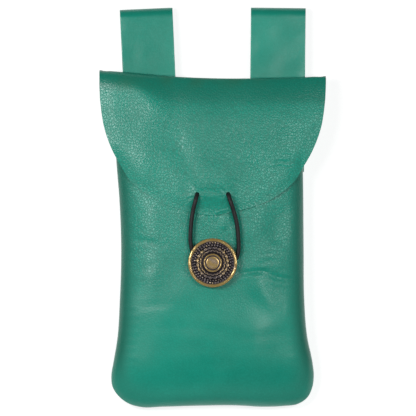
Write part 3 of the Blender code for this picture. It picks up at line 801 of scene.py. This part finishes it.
def softenEdges(piece):
    edge = piece.modifiers.new("soft edges", "BEVEL")
    edge.width = leather["edgeRound"]
    edge.segments = 2
    edge.limit_method = "ANGLE"
    edge.angle_limit = math.radians(62)
    edge.use_clamp_overlap = True
    settleModifiers(piece)


def grainStrength(verts):
    # The grain stands out on the flap and the upper body, and is flatter low down and at the upper left
    x, y = verts[:, 0], verts[:, 1]
    upperLeft = ease(-(x + 0.016) / 0.02) * ease(y / 0.02)
    return (0.32 + 0.68 * ease((y + 0.062) / 0.05)) * (1 - 0.20 * upperLeft)


def foldWear(verts):
    # Browner, stretched leather along the top fold
    patches = 0.45 + 0.35 * softWaves(verts[:, 0], verts[:, 1] * 0.5, 0.012, 41, count=12).clip(-1, 1)
    middle = bump(np.maximum(np.abs(verts[:, 0] + 0.013) - 0.024, 0.0), 0.012)
    return bump(verts[:, 1] - foldLine + 0.0015, 0.0035) * patches * middle


def paintedSeamShade(verts):
    # Painted shade: darker colour where the long sides turn down to the seam and away from the light
    x, y = verts[:, 0], verts[:, 1]
    form = panelForm(x, y.clip(bottomLine, mouthLine))[1]
    return (1 - ease((form - 0.42) / 0.32)) * (0.25 + 0.75 * ease((y - bottomLine - 0.008) / 0.022))


def paintedFoldShade(verts):
    # Painted shade over the top fold, where it turns away from the light, reaching further down on the
    # right than on the left
    reach = finish["foldShadeLeft"] + finish["foldShadeMore"] * fromLeft(verts[:, 0])
    return finish["paintedFoldShade"] * ease((verts[:, 1] - foldLine + reach + 0.004) / 0.006)


leatherMarks = {"grainStrength": grainStrength, "foldWear": foldWear}     # on every sheet


def turnedRim(plan, rimT):
    # Points of the front panel's edge as it turns in to the seam, for each place of the rim
    inward = inwardAt(bodyLine, rimT)
    level = panelEdge(pointOn(bodyLine, rimT)[:, 1])
    roll = body["seamRoll"]
    strips = []
    for angle in np.linspace(0, math.pi / 2, body["rollSteps"] + 1)[1:]:
        strips.append((roll * (1 - math.cos(angle)), roll * math.sin(angle)))
    strips.append((roll + body["seamAllowance"], roll))
    points = []
    for run, drop in strips:
        spot = plan + inward * run
        points.append(np.column_stack([spot, level - drop]))
    return np.stack(points, axis=1)


def makeFrontPanel(materials):
    share = np.linspace(0, 1, body["rows"] + 1)
    rows = cornerLine + (mouthLine - cornerLine) * (0.35 * share + 0.65 * share ** 1.6)
    plan, leftT, lowT, rightT = bodyPlan(rows, columnShares(body["columns"]),
                                         lambda y: np.full_like(y, half))
    x, y = plan[..., 0], plan[..., 1]
    height = panelHeight(x, y)
    height[0] = panelEdge(pointOn(bodyLine, lowT)[:, 1])
    height[1:, 0] = panelEdge(pointOn(bodyLine, leftT)[1:, 1])
    height[1:, -1] = panelEdge(pointOn(bodyLine, rightT)[1:, 1])
    grid = np.dstack([x, y, height + seamPucker(x, y)])
    mesh = sheetMesh("frontPanel", grid, turnedRim(plan[:, 0], leftT),
                     turnedRim(plan[:, -1], rightT), turnedRim(plan[0], lowT), False,
                     dict(leatherMarks, paintedShade=paintedSeamShade))
    piece = addPiece("frontPanel", mesh, materials, "front_panel")
    thicken(piece)
    postHole = elasticLoop["post"] + 2 * leather["clearance"]
    cutHoles(piece, "post hole", [(0.0, buttonLine, crown(buttonLine), postHole)])
    softenEdges(piece)


def seamPucker(x, y):
    # Small ripples where the stitches draw the edge in, fading a few millimetres from it
    near = bump(panelForm(x, y)[1] - 0.45, 0.28)
    along = np.where(np.abs(x) > 0.8 * halfBody, y, x)
    return body["pucker"] * near * np.cos(2 * math.pi * along / body["stitch"])


def openedEdge(roll, allowance, angle):
    # Run and rise of a turned edge beyond where it leaves the sheet; angle 0 is opened flat
    steps = body["rollSteps"]
    length = math.pi * roll
    part = angle * np.arange(1, steps + 1) / steps
    if angle < 0.01:
        run, rise = length * np.arange(1, steps + 1) / steps, np.zeros(steps)
    else:
        run, rise = length / angle * np.sin(part), length / angle * (1 - np.cos(part))
    share = np.arange(1, flap["allowanceSteps"] + 1) / flap["allowanceSteps"]
    return (np.concatenate([run, run[-1] + allowance * share * math.cos(angle)]),
            np.concatenate([rise, rise[-1] + allowance * share * math.sin(angle)]))


def sideShare(side, y):
    # Half width of the flap at a height, as a share of the full half width
    line = smoothLine(flapSides)
    share = line[:, 1 if side < 0 else 2]
    return float(np.interp((foldLine - y) / flap["length"], line[:, 0], share))


def flapPlace(across, down):
    return across * halfFlap, foldLine - down * flap["length"]


def flapPlan(shares):
    # Plan of the flap as rows of points, from the fold's end to its front curve
    leftEdge, frontEdge, rightEdge = roundPlan(flapPlace, flapSides, flapFront)

    def down(edge, end):
        line = outlineOf(edge)
        top = float(foldStart(end) - shoulderAt(end))
        t = np.linspace(np.interp(-top, -line["y"], line["t"]), line["t"][-1], flap["rows"] + 1)
        return pointOn(line, t)

    left, right = down(leftEdge, -halfFlap), down(rightEdge[::-1], halfFlap)
    front = outlineOf(leftEdge[-1:] + frontEdge + rightEdge[:1])
    x = (shares - 0.5) * (right[0, 0] - left[0, 0]) + (right[0, 0] + left[0, 0]) / 2
    top = np.stack([x, foldStart(x) - shoulderAt(x)], axis=1)
    low = pointOn(front, shares * front["t"][-1])
    share, v = shares[None, :, None], np.linspace(0, 1, flap["rows"] + 1)[:, None, None]
    sides = left[:, None] * (1 - share) + right[:, None] * share
    flat = ((left[0] * (1 - share) + right[0] * share) * (1 - v)
            + (left[-1] * (1 - share) + right[-1] * share) * v)
    return top[None] * (1 - v) + low[None] * v + sides - flat


def makeBackFlap(materials):
    # One sheet: the back panel, the top fold and the flap
    shares = columnShares(body["columns"])
    steps = body["rollSteps"] + flap["allowanceSteps"]
    rows = np.linspace(cornerLine, mouthLine, flap["backRows"] + 1)
    rows = cornerLine + (rows - cornerLine) ** 1.25 / (mouthLine - cornerLine) ** 0.25
    plan, leftT, lowT, rightT = bodyPlan(rows, shares, lambda y: half + backRoll(y))
    grid = [np.column_stack([line, backHeight(line[:, 1])]) for line in plan]

    def strip(points, t):
        made = np.empty((len(t), steps, 3))
        outward = -inwardAt(bodyLine, t)
        for index, (point, place) in enumerate(zip(points, t)):
            y = pointOn(bodyLine, place)[1]
            run, rise = openedEdge(float(backRoll(y)), body["seamAllowance"], math.pi)
            made[index, :, :2] = point + outward[index] * run[:, None]
            made[index, :, 2] = backHeight(y) + rise
        return made

    left, right = list(strip(plan[:, 0], leftT)), list(strip(plan[:, -1], rightT))
    low = strip(plan[0], lowT)

    roll = float(backRoll(mouthLine))
    flatHalf = halfFlap - math.pi * roll - body["seamAllowance"]

    def addRow(halves, section, angle, allowance, narrow=(1.0, 1.0)):
        # A row across the sheet; section gives the place and height for each x
        ends = (-halves[0] * narrow[0], halves[1] * narrow[1])
        x = ends[0] + (ends[1] - ends[0]) * shares
        grid.append(np.column_stack([x, *section(x)]))
        run, rise = openedEdge(roll, allowance, angle)
        for side, strips in ((0, left), (1, right)):
            x = ends[side] + (2 * side - 1) * run * narrow[side]
            y, z = section(x)
            strips.append(np.column_stack([x, y, z + rise]))

    mouthHalves = (-plan[-1, 0, 0], plan[-1, -1, 0])
    first = mouthLine + leather["thickness"]
    for place in np.linspace(0, 1, flap["taperRows"] + 1):
        y, opened = first + flap["seamTaper"] * place, float(ease(place))
        halves = [start + (flatHalf * sideShare(side, y) - start) * opened
                  for side, start in zip((-1, 1), mouthHalves)]
        notch = body["seamAllowance"] - flap["taperNotch"] * 4 * opened * (1 - opened)
        addRow(halves, lambda x, y=y: (np.full_like(x, y), np.full_like(x, backHeight(y))),
               math.pi * (1 - opened), notch)
    for turn in math.pi * np.linspace(0, 1, flap["foldRows"] + 1)[:-1]:
        narrow = [sideShare(side, float(foldSection(side * halfFlap, turn)[0])) for side in (-1, 1)]
        addRow((flatHalf, flatHalf), lambda x, turn=turn: foldSection(x, turn), 0.0,
               body["seamAllowance"], narrow)

    run = openedEdge(roll, body["seamAllowance"], 0.0)[0]
    inner = (halfFlap + flatHalf * (2 * shares - 1)) / flap["width"]
    outer = (flatHalf + run) / flap["width"]
    every = np.concatenate([(0.5 - outer)[::-1], inner, 0.5 + outer])
    for line in flapPlan(every):
        points = np.column_stack([line, flapHeight(line[:, 0], line[:, 1])])
        grid.append(points[steps:-steps])
        left.append(points[:steps][::-1])
        right.append(points[-steps:])

    mesh = sheetMesh("backFlap", np.array(grid), np.array(left), np.array(right), low, True,
                     dict(leatherMarks, paintedShade=paintedFoldShade))
    piece = addPiece("backFlap", mesh, materials, "back_flap")
    pared = piece.vertex_groups.new(name="full thickness")
    for index, weight in enumerate(edgeParing(mesh)):
        pared.add([index], float(weight), "REPLACE")
    thicken(piece, "full thickness", 1 - flap["skive"])
    diameter = elasticLoop["diameter"] + 2 * flap["holeClearance"]
    holes = [(side * flap["holeSpacing"] / 2, holeLine,
              float(flapForm(flap["holeSpacing"] / 2, holeLine)), diameter) for side in (-1, 1)]
    cutHoles(piece, "cord holes", holes)
    softenEdges(piece)


def edgeParing(mesh):
    # 1 over the whole sheet, 0 along the flap's front and side edges, where it is pared thin
    spots = np.empty(len(mesh.vertices) * 3)
    mesh.vertices.foreach_get("co", spots)
    x, y, z = spots.reshape(-1, 3).T
    left, front, right = roundPlan(flapPlace, flapSides, flapFront)
    gap = gapTo(smoothLine(left + front + right, 14), x, y)
    onFlap = z > crown(y.clip(bottomLine, foldLine)) - flap["foldRadius"]
    return np.where(onFlap, ease(gap / flap["skiveWidth"]), 1.0)


def makeBeltLoop(name, materials):
    # A strap that runs up behind, turns over at the top and comes down in front of itself
    node, centre, width, lean, seed = beltStraps[name]
    reach = beltLoop["width"] * width / 2
    slope = math.tan(math.radians(lean))
    bend = (openHeight - half) / 2
    bendLine = loopTop - abs(slope) * reach - half - bend
    turn = np.linspace(0, math.pi, 17)
    rear = np.linspace(loopEnd, bendLine, int((bendLine - loopEnd) / beltLoop["rowLength"]))
    ahead = rear[::-1]
    y = np.concatenate([rear[:-1], bendLine + bend * np.sin(turn), ahead[1:]])
    z = np.concatenate([np.full(len(rear) - 1, half), half + bend * (1 - np.cos(turn)),
                        legHeight(ahead[1:])])
    across = np.linspace(-1, 1, beltLoop["columns"] + 1)
    tilt = ease((y - foldLine) / (bendLine - foldLine)) * slope
    middle = centre * halfBody - (y - foldLine) * slope
    gridX = middle[:, None] + across[None] * reach
    gridY = y[:, None] + across[None] * reach * tilt[:, None]
    front = ease((z - 0.0035) / 0.003)[:, None] * ease((gridY - spreadTop) / 0.006)
    uneven = beltLoop["swell"] * softWaves(gridX, gridY, beltLoop["swellLength"], seed)
    fine = creaseNet(gridX, gridY, beltLoop["fineLength"], seed + 1, 85, 0.3)
    uneven = uneven + beltLoop["fineWrinkle"] * fine
    gridZ = z[:, None] + front * (uneven - beltLoop["edgeDrop"] * across[None] ** 4)
    grid = np.dstack([gridX, gridY, gridZ])
    index = np.arange(grid.shape[0] * grid.shape[1]).reshape(grid.shape[:2])
    verts = grid.reshape(-1, 3)
    # Painted shade darkens the straps' tops, where they turn over away from the light
    marks = {"grainStrength": np.full(len(verts), 0.22), "foldWear": np.zeros(len(verts)),
             "paintedShade": 0.45 * ease((verts[:, 1] - loopTop + 0.0065) / 0.005)}
    piece = addPiece(name, meshFrom(name, verts, quadsOf(index, True), marks), materials,
                     node)
    thicken(piece)
    softenEdges(piece)


def makeElastic(material):
    # Braided round elastic: a tube whose surface rises and falls where the plaits cross
    path, length = elasticPath()
    count, sides = len(path), elasticLoop["sides"]
    along = np.roll(path, -1, axis=0) - np.roll(path, 1, axis=0)
    along /= np.linalg.norm(along, axis=1, keepdims=True)
    normal = np.array([0.0, 0.0, 1.0])
    normals = np.empty_like(path)
    for index, heading in enumerate(along):
        normal = normal - heading * normal.dot(heading)
        normal = normal / np.linalg.norm(normal)
        normals[index] = normal
    across = np.cross(along, normals)
    theta = 2 * math.pi * np.arange(sides) / sides
    turns = round(length / elasticLoop["plait"])
    phase = math.pi * turns * np.arange(count)[:, None] / count
    plait = np.abs(np.cos(4 * theta[None] + phase)) * np.abs(np.cos(4 * theta[None] - phase))
    radius = elasticLoop["diameter"] / 2 - elasticLoop["braid"] * (1 - plait)
    verts = (path[:, None] + radius[..., None] * (np.cos(theta)[None, :, None] * normals[:, None]
             + np.sin(theta)[None, :, None] * across[:, None]))
    index = np.arange(count * sides).reshape(count, sides)
    index = np.vstack([index, index[:1]])
    index = np.hstack([index, index[:, :1]])
    mesh = meshFrom("elasticLoop", verts.reshape(-1, 3), quadsOf(index, False),
                    {"plait": plait.ravel()})
    mesh.shade_smooth()
    addPiece("elasticLoop", mesh, [material], "loop_cord")


# The button: a cast disc with a raised ornament of petals and reeding, and its post
button = {
    "sides": 480,
    "rings": 150,
    "thickness": 0.0026,
    "standoff": 0.0030,        # front panel to the disc's underside
    "petals": 20,
    "teeth": 40,
    "wear": 0.010,             # unevenness of the worn casting, as a share of the thickness
    "edgeRound": 0.0002,
    "rivet": 0.0095,
    "rivetThickness": 0.0010,
    "brass": (0.43, 0.300, 0.105),
    "deepBrass": (0.36, 0.235, 0.072),
    "tarnish": (0.20, 0.165, 0.175),
    "recess": (0.003, 0.002, 0.003),
}

# Turned profile of the face from the centre out, as radius and height (shares)
buttonFace = (
    (0.000, 0.870),
    (0.130, 0.868),
    (0.235, 0.860),
    (0.255, 0.840),
    (0.272, 0.770),
    (0.298, 0.765),
    (0.318, 0.870),
    (0.340, 0.910),
    (0.362, 0.870),
    (0.388, 0.690),
    (0.430, 0.640),
    (0.450, 0.700),
    (0.520, 0.720),
    (0.540, 0.640),
    (0.560, 0.700),
    (0.660, 0.700),
    (0.690, 0.580),
    (0.845, 0.560),
    (0.868, 0.700),
    (0.895, 0.950),
    (0.930, 1.000),
    (0.965, 0.960),
    (0.990, 0.800),
    (1.000, 0.560),
)

# How bright the metal is rubbed, from the centre out, as radius and tone (shares)
buttonTone = (
    (0.000, 0.74),
    (0.180, 0.70),
    (0.205, 0.92),
    (0.250, 0.85),
    (0.268, 0.10),
    (0.300, 0.08),
    (0.318, 1.00),
    (0.362, 0.95),
    (0.380, 0.04),
    (0.430, 0.02),
    (0.450, 0.10),
    (0.520, 0.10),
    (0.540, 0.02),
    (0.650, 0.05),
    (0.680, 0.00),
    (0.850, 0.02),
    (0.872, 0.62),
    (0.900, 0.98),
    (0.985, 1.00),
    (1.000, 0.70),
)


def buttonRelief(share, angle):
    # What the casting adds to the turned profile: height as a share of the thickness, and tone; the
    # tone holds painted glints, brighter on the ornament at the left and right
    def band(low, high, soft=0.010):
        return ease((share - low) / soft) * ease((high - share) / soft)

    petal = button["petals"] * angle
    arch = np.abs(np.sin(petal / 2))
    petals = band(0.540, 0.675) * bump(share - 0.570 - 0.078 * arch ** 0.7, 0.020)
    beads = band(0.540, 0.640) * bump(arch - 1.0, 0.25) * bump(share - 0.586, 0.024)
    arcs = band(0.430, 0.540) * bump(share - 0.450 - 0.062 * np.abs(np.cos(petal / 2)) ** 0.7, 0.018)
    uneven = 0.55 + 0.45 * np.sin(17 * angle + 2.0) * np.sin(23 * angle + 40 * share)
    inner = band(0.690, 0.765, 0.012) * ease(0.35 + 1.2 * np.cos(button["teeth"] * angle + 1.2))
    outer = band(0.780, 0.855, 0.012) * ease(0.35 + 1.2 * np.cos((button["teeth"] + 6) * angle))
    teeth = (inner + outer) * uneven
    # Painted glint: the raised lines are made brighter at the left and right, towards the lamps
    paintedGlint = 0.72 + 0.28 * np.cos(2 * angle + math.pi)
    return (0.07 * petals + 0.07 * beads + 0.06 * arcs + 0.06 * teeth,
            paintedGlint * (1.1 * petals + 1.3 * beads + 1.1 * arcs) + 0.70 * teeth)


def makeButton(material):
    sides, rings = button["sides"], button["rings"]
    radius, thick = buttonRadius, button["thickness"]
    disc = crown(buttonLine) + button["standoff"]
    headTop = crown(buttonLine) - layer
    headLow = headTop - button["rivetThickness"]
    profile = smoothLine(buttonFace, 12)
    share = np.linspace(0.012, 1.0, rings)
    angle = 2 * math.pi * np.arange(sides) / sides
    ringShare, turn = np.meshgrid(share, angle, indexing="ij")
    raised, rubbedAndGlint = buttonRelief(ringShare, turn)
    height = np.interp(ringShare, profile[:, 0], profile[:, 1]) + raised
    x, y = np.sin(turn), np.cos(turn)
    worn = softWaves(ringShare * x * radius, ringShare * y * radius, 0.0035, 71, count=14)
    height = height + button["wear"] * worn * ease((ringShare - 0.22) / 0.05)
    polishAndGlint = np.interp(ringShare, *np.transpose(buttonTone)) + rubbedAndGlint
    polishAndGlint = np.clip(polishAndGlint * (0.93 + 0.10 * worn), 0.0, 1.0)
    points = np.dstack([ringShare * radius * x, buttonLine + ringShare * radius * y,
                        disc + height * thick])
    post, rivet, soft = elasticLoop["post"] / 2, button["rivet"] / 2, button["edgeRound"]
    lower = [(0.985 * radius, disc + 0.18 * thick), (0.945 * radius, disc), (post + 2 * soft, disc),
             (post, disc - 2 * soft), (post, headTop), (rivet - soft, headTop), (rivet, headTop - soft),
             (rivet, headLow + soft), (rivet - 1.5 * soft, headLow)]
    under = np.array([np.column_stack([r * np.sin(angle), buttonLine + r * np.cos(angle),
                                       np.full(sides, z)]) for r, z in lower])
    verts = np.vstack([points.reshape(-1, 3), under.reshape(-1, 3)])
    index = np.arange((rings + len(lower)) * sides).reshape(-1, sides)
    index = np.hstack([index, index[:, :1]])
    marks = np.concatenate([polishAndGlint.ravel(), np.full(len(lower) * sides, 0.25)])
    mesh = meshFrom("castButton", verts, quadsOf(index, True), {"polishAndGlint": marks})
    form = bmesh.new()
    form.from_mesh(mesh)
    form.verts.ensure_lookup_table()
    for first, flip in ((0, True), ((rings + len(lower) - 1) * sides, False)):
        ring = [form.verts[first + step] for step in range(sides)]
        form.faces.new(ring if flip else ring[::-1])
    bmesh.ops.recalc_face_normals(form, faces=form.faces)
    form.to_mesh(mesh)
    form.free()
    mesh.shade_smooth()
    mesh.set_sharp_from_angle(angle=math.radians(50))
    addPiece("castButton", mesh, [material], "button")


# Materials. Each starts from a plain shader and adds the surface that the real one shows
finish = {
    "green": (0.006, 0.305, 0.212),
    "deepGreen": (0.004, 0.250, 0.172),
    "paleGreen": (0.014, 0.350, 0.258),
    "grooveGreen": (0.003, 0.185, 0.125),
    "foldBrown": (0.050, 0.165, 0.080),
    # Colour of the painted shade on the seam sides, the top fold and the belt loops' tops
    "paintedShadeGreen": (0.002, 0.150, 0.100),
    "flesh": (0.085, 0.235, 0.170),
    "rawEdge": (0.075, 0.260, 0.185),
    "grainCell": 0.00135,      # width of a pebble
    "grainDepth": 0.000052,
    "grainWander": 0.0007,     # how far the net of grain is pulled out of shape
    "wrinkleLength": 0.0030,
    "wrinkleDepth": 0.00007,
    "poreSize": 0.00024,
    "poreDepth": 0.000009,
    "gloss": (0.28, 0.37),     # roughness of the pebbles' tops
    "grooveMatt": 0.12,        # what a groove adds to it
    "shine": 0.45,
    # The next three set the painted shade over the top fold
    "paintedFoldShade": 0.62,         # how dark the top fold is
    "foldShadeLeft": 0.004,    # how far down the shade reaches at the left
    "foldShadeMore": 0.0075,   # and how much further over the rest
}


def feed(tree, node, inputs):
    # Link or set each named socket
    for key, value in inputs.items():
        if isinstance(value, bpy.types.NodeSocket):
            tree.links.new(value, node.inputs[key])
        else:
            node.inputs[key].default_value = value


def addNode(tree, kind, inputs=None, **settings):
    node = tree.nodes.new(kind)
    for key, value in settings.items():
        setattr(node, key, value)
    feed(tree, node, inputs or {})
    return node


def newMaterial(name):
    material = bpy.data.materials.new(name)
    material.use_nodes = True
    tree = material.node_tree
    spot = addNode(tree, "ShaderNodeTexCoord").outputs["Object"]
    return material, tree, tree.nodes["Principled BSDF"], spot


def noise(tree, spot, size, detail=2.0, roughness=0.5, distortion=0.0):
    # size is the width of a patch in metres
    node = addNode(tree, "ShaderNodeTexNoise", {"Vector": spot, "Scale": 1 / size, "Detail": detail,
                                                "Roughness": roughness, "Distortion": distortion})
    return node.outputs["Fac"]


def remap(tree, value, low, high, toLow=0.0, toHigh=1.0):
    node = addNode(tree, "ShaderNodeMapRange", {"Value": value, "From Min": low, "From Max": high,
                                                "To Min": toLow, "To Max": toHigh})
    return node.outputs["Result"]


def calculate(tree, operation, first, second):
    return addNode(tree, "ShaderNodeMath", {0: first, 1: second}, operation=operation).outputs[0]


def multiply(tree, first, second):
    return calculate(tree, "MULTIPLY", first, second)


def blendColour(tree, share, first, second):
    first, second = [colour if isinstance(colour, bpy.types.NodeSocket) else (*colour, 1.0)
                     for colour in (first, second)]
    return addNode(tree, "ShaderNodeMix", {0: share, 6: first, 7: second}, data_type="RGBA").outputs[2]


def markOf(tree, name):
    return addNode(tree, "ShaderNodeAttribute", attribute_name=name).outputs["Fac"]


def relief(tree, height, depth, strength=1.0, normal=None):
    inputs = {"Height": height, "Distance": depth, "Strength": strength}
    if normal is not None:
        inputs["Normal"] = normal
    return addNode(tree, "ShaderNodeBump", inputs).outputs["Normal"]


def grainLeather():
    # Soft pebbled hide: a fine net of grain, faint wrinkles, uneven dye, painted shade and a satin
    # finish
    material, tree, shader, spot = newMaterial("green leather grain")
    strength = markOf(tree, "grainStrength")
    warped = addNode(tree, "ShaderNodeTexNoise", {"Vector": spot, "Scale": 900.0, "Detail": 1.0})
    warped = warped.outputs["Color"]
    for operation, inputs in (("SUBTRACT", {1: (0.5, 0.5, 0.5)}),
                              ("SCALE", {"Scale": finish["grainWander"]}), ("ADD", {1: spot})):
        moved = addNode(tree, "ShaderNodeVectorMath", {0: warped, **inputs}, operation=operation)
        warped = moved.outputs[0]
    cells = addNode(tree, "ShaderNodeTexVoronoi", {"Vector": warped, "Scale": 1 / finish["grainCell"]},
                    feature="DISTANCE_TO_EDGE").outputs["Distance"]
    wrinkle = noise(tree, spot, finish["wrinkleLength"], 3.0, 0.55, 0.8)
    valley = calculate(tree, "ABSOLUTE", calculate(tree, "SUBTRACT", wrinkle, 0.5), 0.0)
    wrinkled = relief(tree, remap(tree, valley, 0.0, 0.045), finish["wrinkleDepth"],
                      multiply(tree, strength, 0.22))
    pebbled = relief(tree, remap(tree, cells, 0.0, 0.24), finish["grainDepth"], strength, wrinkled)
    pores = noise(tree, spot, finish["poreSize"], 2.0, 0.6)

    broad = remap(tree, noise(tree, spot, 0.032, 3.0, 0.55), 0.36, 0.66)
    speck = remap(tree, noise(tree, spot, 0.0011, 3.0, 0.6), 0.35, 0.70)
    groove = multiply(tree, remap(tree, cells, 0.18, 0.0), remap(tree, strength, 0.2, 0.9, 0.1, 1.0))
    colour = blendColour(tree, broad, finish["green"], finish["deepGreen"])
    # The last of these blends lays on the painted shade
    for share, tint in ((multiply(tree, speck, 0.30), "paleGreen"),
                        (multiply(tree, groove, 0.80), "grooveGreen"),
                        (markOf(tree, "foldWear"), "foldBrown"), (markOf(tree, "paintedShade"), "paintedShadeGreen")):
        colour = blendColour(tree, share, colour, finish[tint])
    gloss = remap(tree, noise(tree, spot, 0.014, 4.0, 0.6), 0.30, 0.72, *finish["gloss"])
    feed(tree, shader, {
        "Base Color": colour,
        "Normal": relief(tree, pores, finish["poreDepth"], 0.15, pebbled),
        "Roughness": calculate(tree, "ADD", gloss, multiply(tree, groove, finish["grooveMatt"])),
        "Specular IOR Level": finish["shine"],
    })
    return material


def fleshLeather():
    # The napped inner side
    material, tree, shader, spot = newMaterial("green leather flesh side")
    nap = noise(tree, spot, 0.0006, 4.0, 0.7)
    patches = remap(tree, noise(tree, spot, 0.006, 4.0), 0.3, 0.7)
    feed(tree, shader, {
        "Base Color": blendColour(tree, patches, finish["flesh"], finish["green"]),
        "Normal": relief(tree, nap, 0.00012, 0.8),
        "Roughness": remap(tree, nap, 0.2, 0.8, 0.8, 0.95),
        "Sheen Weight": 0.25,
    })
    return material


def rawLeather():
    # Cut edges: paler, fibrous, dyed through
    material, tree, shader, spot = newMaterial("green leather cut edge")
    fibre = noise(tree, spot, 0.0003, 3.0, 0.7)
    pale = remap(tree, fibre, 0.3, 0.7)
    feed(tree, shader, {
        "Base Color": blendColour(tree, pale, finish["green"], finish["rawEdge"]),
        "Normal": relief(tree, fibre, 0.00008, 0.8),
        "Roughness": remap(tree, fibre, 0.2, 0.8, 0.62, 0.82),
    })
    return material


def braidedElastic():
    material, tree, shader, spot = newMaterial("black braided elastic")
    thread, plait = noise(tree, spot, 0.00016, 2.0, 0.6), markOf(tree, "plait")
    feed(tree, shader, {
        "Base Color": blendColour(tree, plait, elasticLoop["dark"], elasticLoop["black"]),
        "Normal": relief(tree, thread, 0.00004, 0.7),
        "Roughness": remap(tree, thread, 0.3, 0.7, 0.40, 0.60),
        "Specular IOR Level": 0.35,
    })
    return material


def antiqueBrass():
    # Dark in the recesses, rubbed bright where the relief stands out, with painted glints on the
    # ornament at the left and right
    material, tree, shader, spot = newMaterial("antique brass")
    blotch = noise(tree, spot, 0.0012, 4.0, 0.65)
    rubbedAndGlint = multiply(tree, markOf(tree, "polishAndGlint"), remap(tree, blotch, 0.25, 0.60, 0.72, 1.0))
    warm = blendColour(tree, remap(tree, noise(tree, spot, 0.004, 3.0), 0.35, 0.65),
                       button["brass"], button["deepBrass"])
    grey = blendColour(tree, remap(tree, rubbedAndGlint, 0.0, 0.55), button["recess"], button["tarnish"])
    scratch = noise(tree, spot, 0.0005, 4.0, 0.7)
    feed(tree, shader, {
        "Base Color": blendColour(tree, remap(tree, rubbedAndGlint, 0.35, 0.75), grey, warm),
        "Normal": relief(tree, scratch, 0.00003, 0.5),
        "Metallic": remap(tree, rubbedAndGlint, 0.0, 0.5, 0.85, 0.38),
        "Roughness": calculate(tree, "ADD", remap(tree, rubbedAndGlint, 0.0, 0.7, 0.46, 0.19),
                               remap(tree, blotch, 0.3, 0.7, -0.03, 0.05)),
        "Specular IOR Level": 0.55,
    })
    return material


# The table, the light and the camera
studio = {
    "viewWidth": 0.2101,       # what the picture's side covers on the pouch
    "viewX": -0.00235,         # the camera's place over the pouch
    "viewY": -0.0002,
    "cameraHeight": 1.6,
    "ceilingLight": 0.02,      # brightness straight overhead
    "wallLight": 0.64,         # round the upper walls
    "floorLight": 0.30,        # and low down
    "beyondTable": 1.65,       # what is seen below the horizon, as a share of the walls
    "lightColour": (0.95, 0.97, 1.0),
    "keyLight": 14.2,
    "keyPlace": (-0.335, 0.10, 0.64),
    "keySize": (0.155, 0.30),
    "fillLight": 12.4,
    "fillPlace": (0.25, 0.04, 0.69),
    "fillSize": (0.095, 0.32),
    "tableReach": 3.0,
    "tableGlow": 0.8,
}


def makeCamera():
    data = bpy.data.cameras.new("camera over the table")
    data.type = "ORTHO"
    data.ortho_scale = studio["viewWidth"]
    camera = addObject("camera over the table", data)
    camera.location = (studio["viewX"], studio["viewY"], studio["cameraHeight"])
    bpy.context.scene.camera = camera


def makeTable():
    form = bmesh.new()
    bmesh.ops.create_grid(form, x_segments=8, y_segments=8, size=studio["tableReach"])
    table = addObject("white table", meshOf("white table", form))
    material, tree, shader, spot = newMaterial("matt white table")
    feed(tree, shader, {
        "Base Color": remap(tree, noise(tree, spot, 0.4, 2.0), 0.3, 0.7, 0.34, 0.36),
        "Roughness": 0.9,
        "Specular IOR Level": 0.1,
        "Emission Color": (1.0, 1.0, 1.0, 1.0),
        "Emission Strength": studio["tableGlow"],
    })
    table.data.materials.append(material)


def addSoftbox(name, light):
    # A soft rectangular light that faces the pouch
    spot, size = studio[light + "Place"], studio[light + "Size"]
    data = bpy.data.lights.new(name, "AREA")
    data.shape = "RECTANGLE"
    data.size, data.size_y = size
    data.energy = studio[light + "Light"] * size[0] * size[1] * 4
    lamp = addObject(name, data)
    lamp.location = spot
    lamp.rotation_mode = "QUATERNION"
    lamp.rotation_quaternion = (-Vector(spot)).to_track_quat("-Z", "Y")


def makeLight():
    scene = bpy.context.scene
    scene.view_settings.view_transform = "Standard"
    scene.view_settings.look = "None"
    world = bpy.data.worlds.new("pale studio")
    world.use_nodes = True
    tree = world.node_tree
    view = addNode(tree, "ShaderNodeSeparateXYZ",
                   {0: addNode(tree, "ShaderNodeTexCoord").outputs["Generated"]})
    height, depth = view.outputs["Z"], view.outputs["Y"]
    upper = remap(tree, height, 0.82, 0.64)
    lower = remap(tree, height, 0.25, 0.50, studio["floorLight"] / studio["wallLight"], 1.0)
    away = remap(tree, depth, 0.0, 0.5, 1.0, 0.25)
    wall = multiply(tree, multiply(tree, upper, lower), away)
    beyond = remap(tree, height, 0.0, -0.02, 0.0, studio["beyondTable"])
    wall = multiply(tree, calculate(tree, "MAXIMUM", wall, beyond), studio["wallLight"])
    feed(tree, tree.nodes["Background"], {
        "Strength": calculate(tree, "MAXIMUM", wall, studio["ceilingLight"]),
        "Color": (*studio["lightColour"], 1.0),
    })
    scene.world = world
    addSoftbox("key on the left", "key")
    addSoftbox("fill on the right", "fill")


makeCamera()
print("camera in place")
makeElastic(braidedElastic())
print("elastic braided")
leatherSides = [grainLeather(), fleshLeather(), rawLeather()]
makeFrontPanel(leatherSides)
print("front panel sewn in")
makeBackFlap(leatherSides)
print("back and flap folded over")
for name in beltStraps:
    makeBeltLoop(name, leatherSides)
print("belt loops made")
makeButton(antiqueBrass())
print("button cast")
makeTable()
makeLight()
print("table and lights set up")
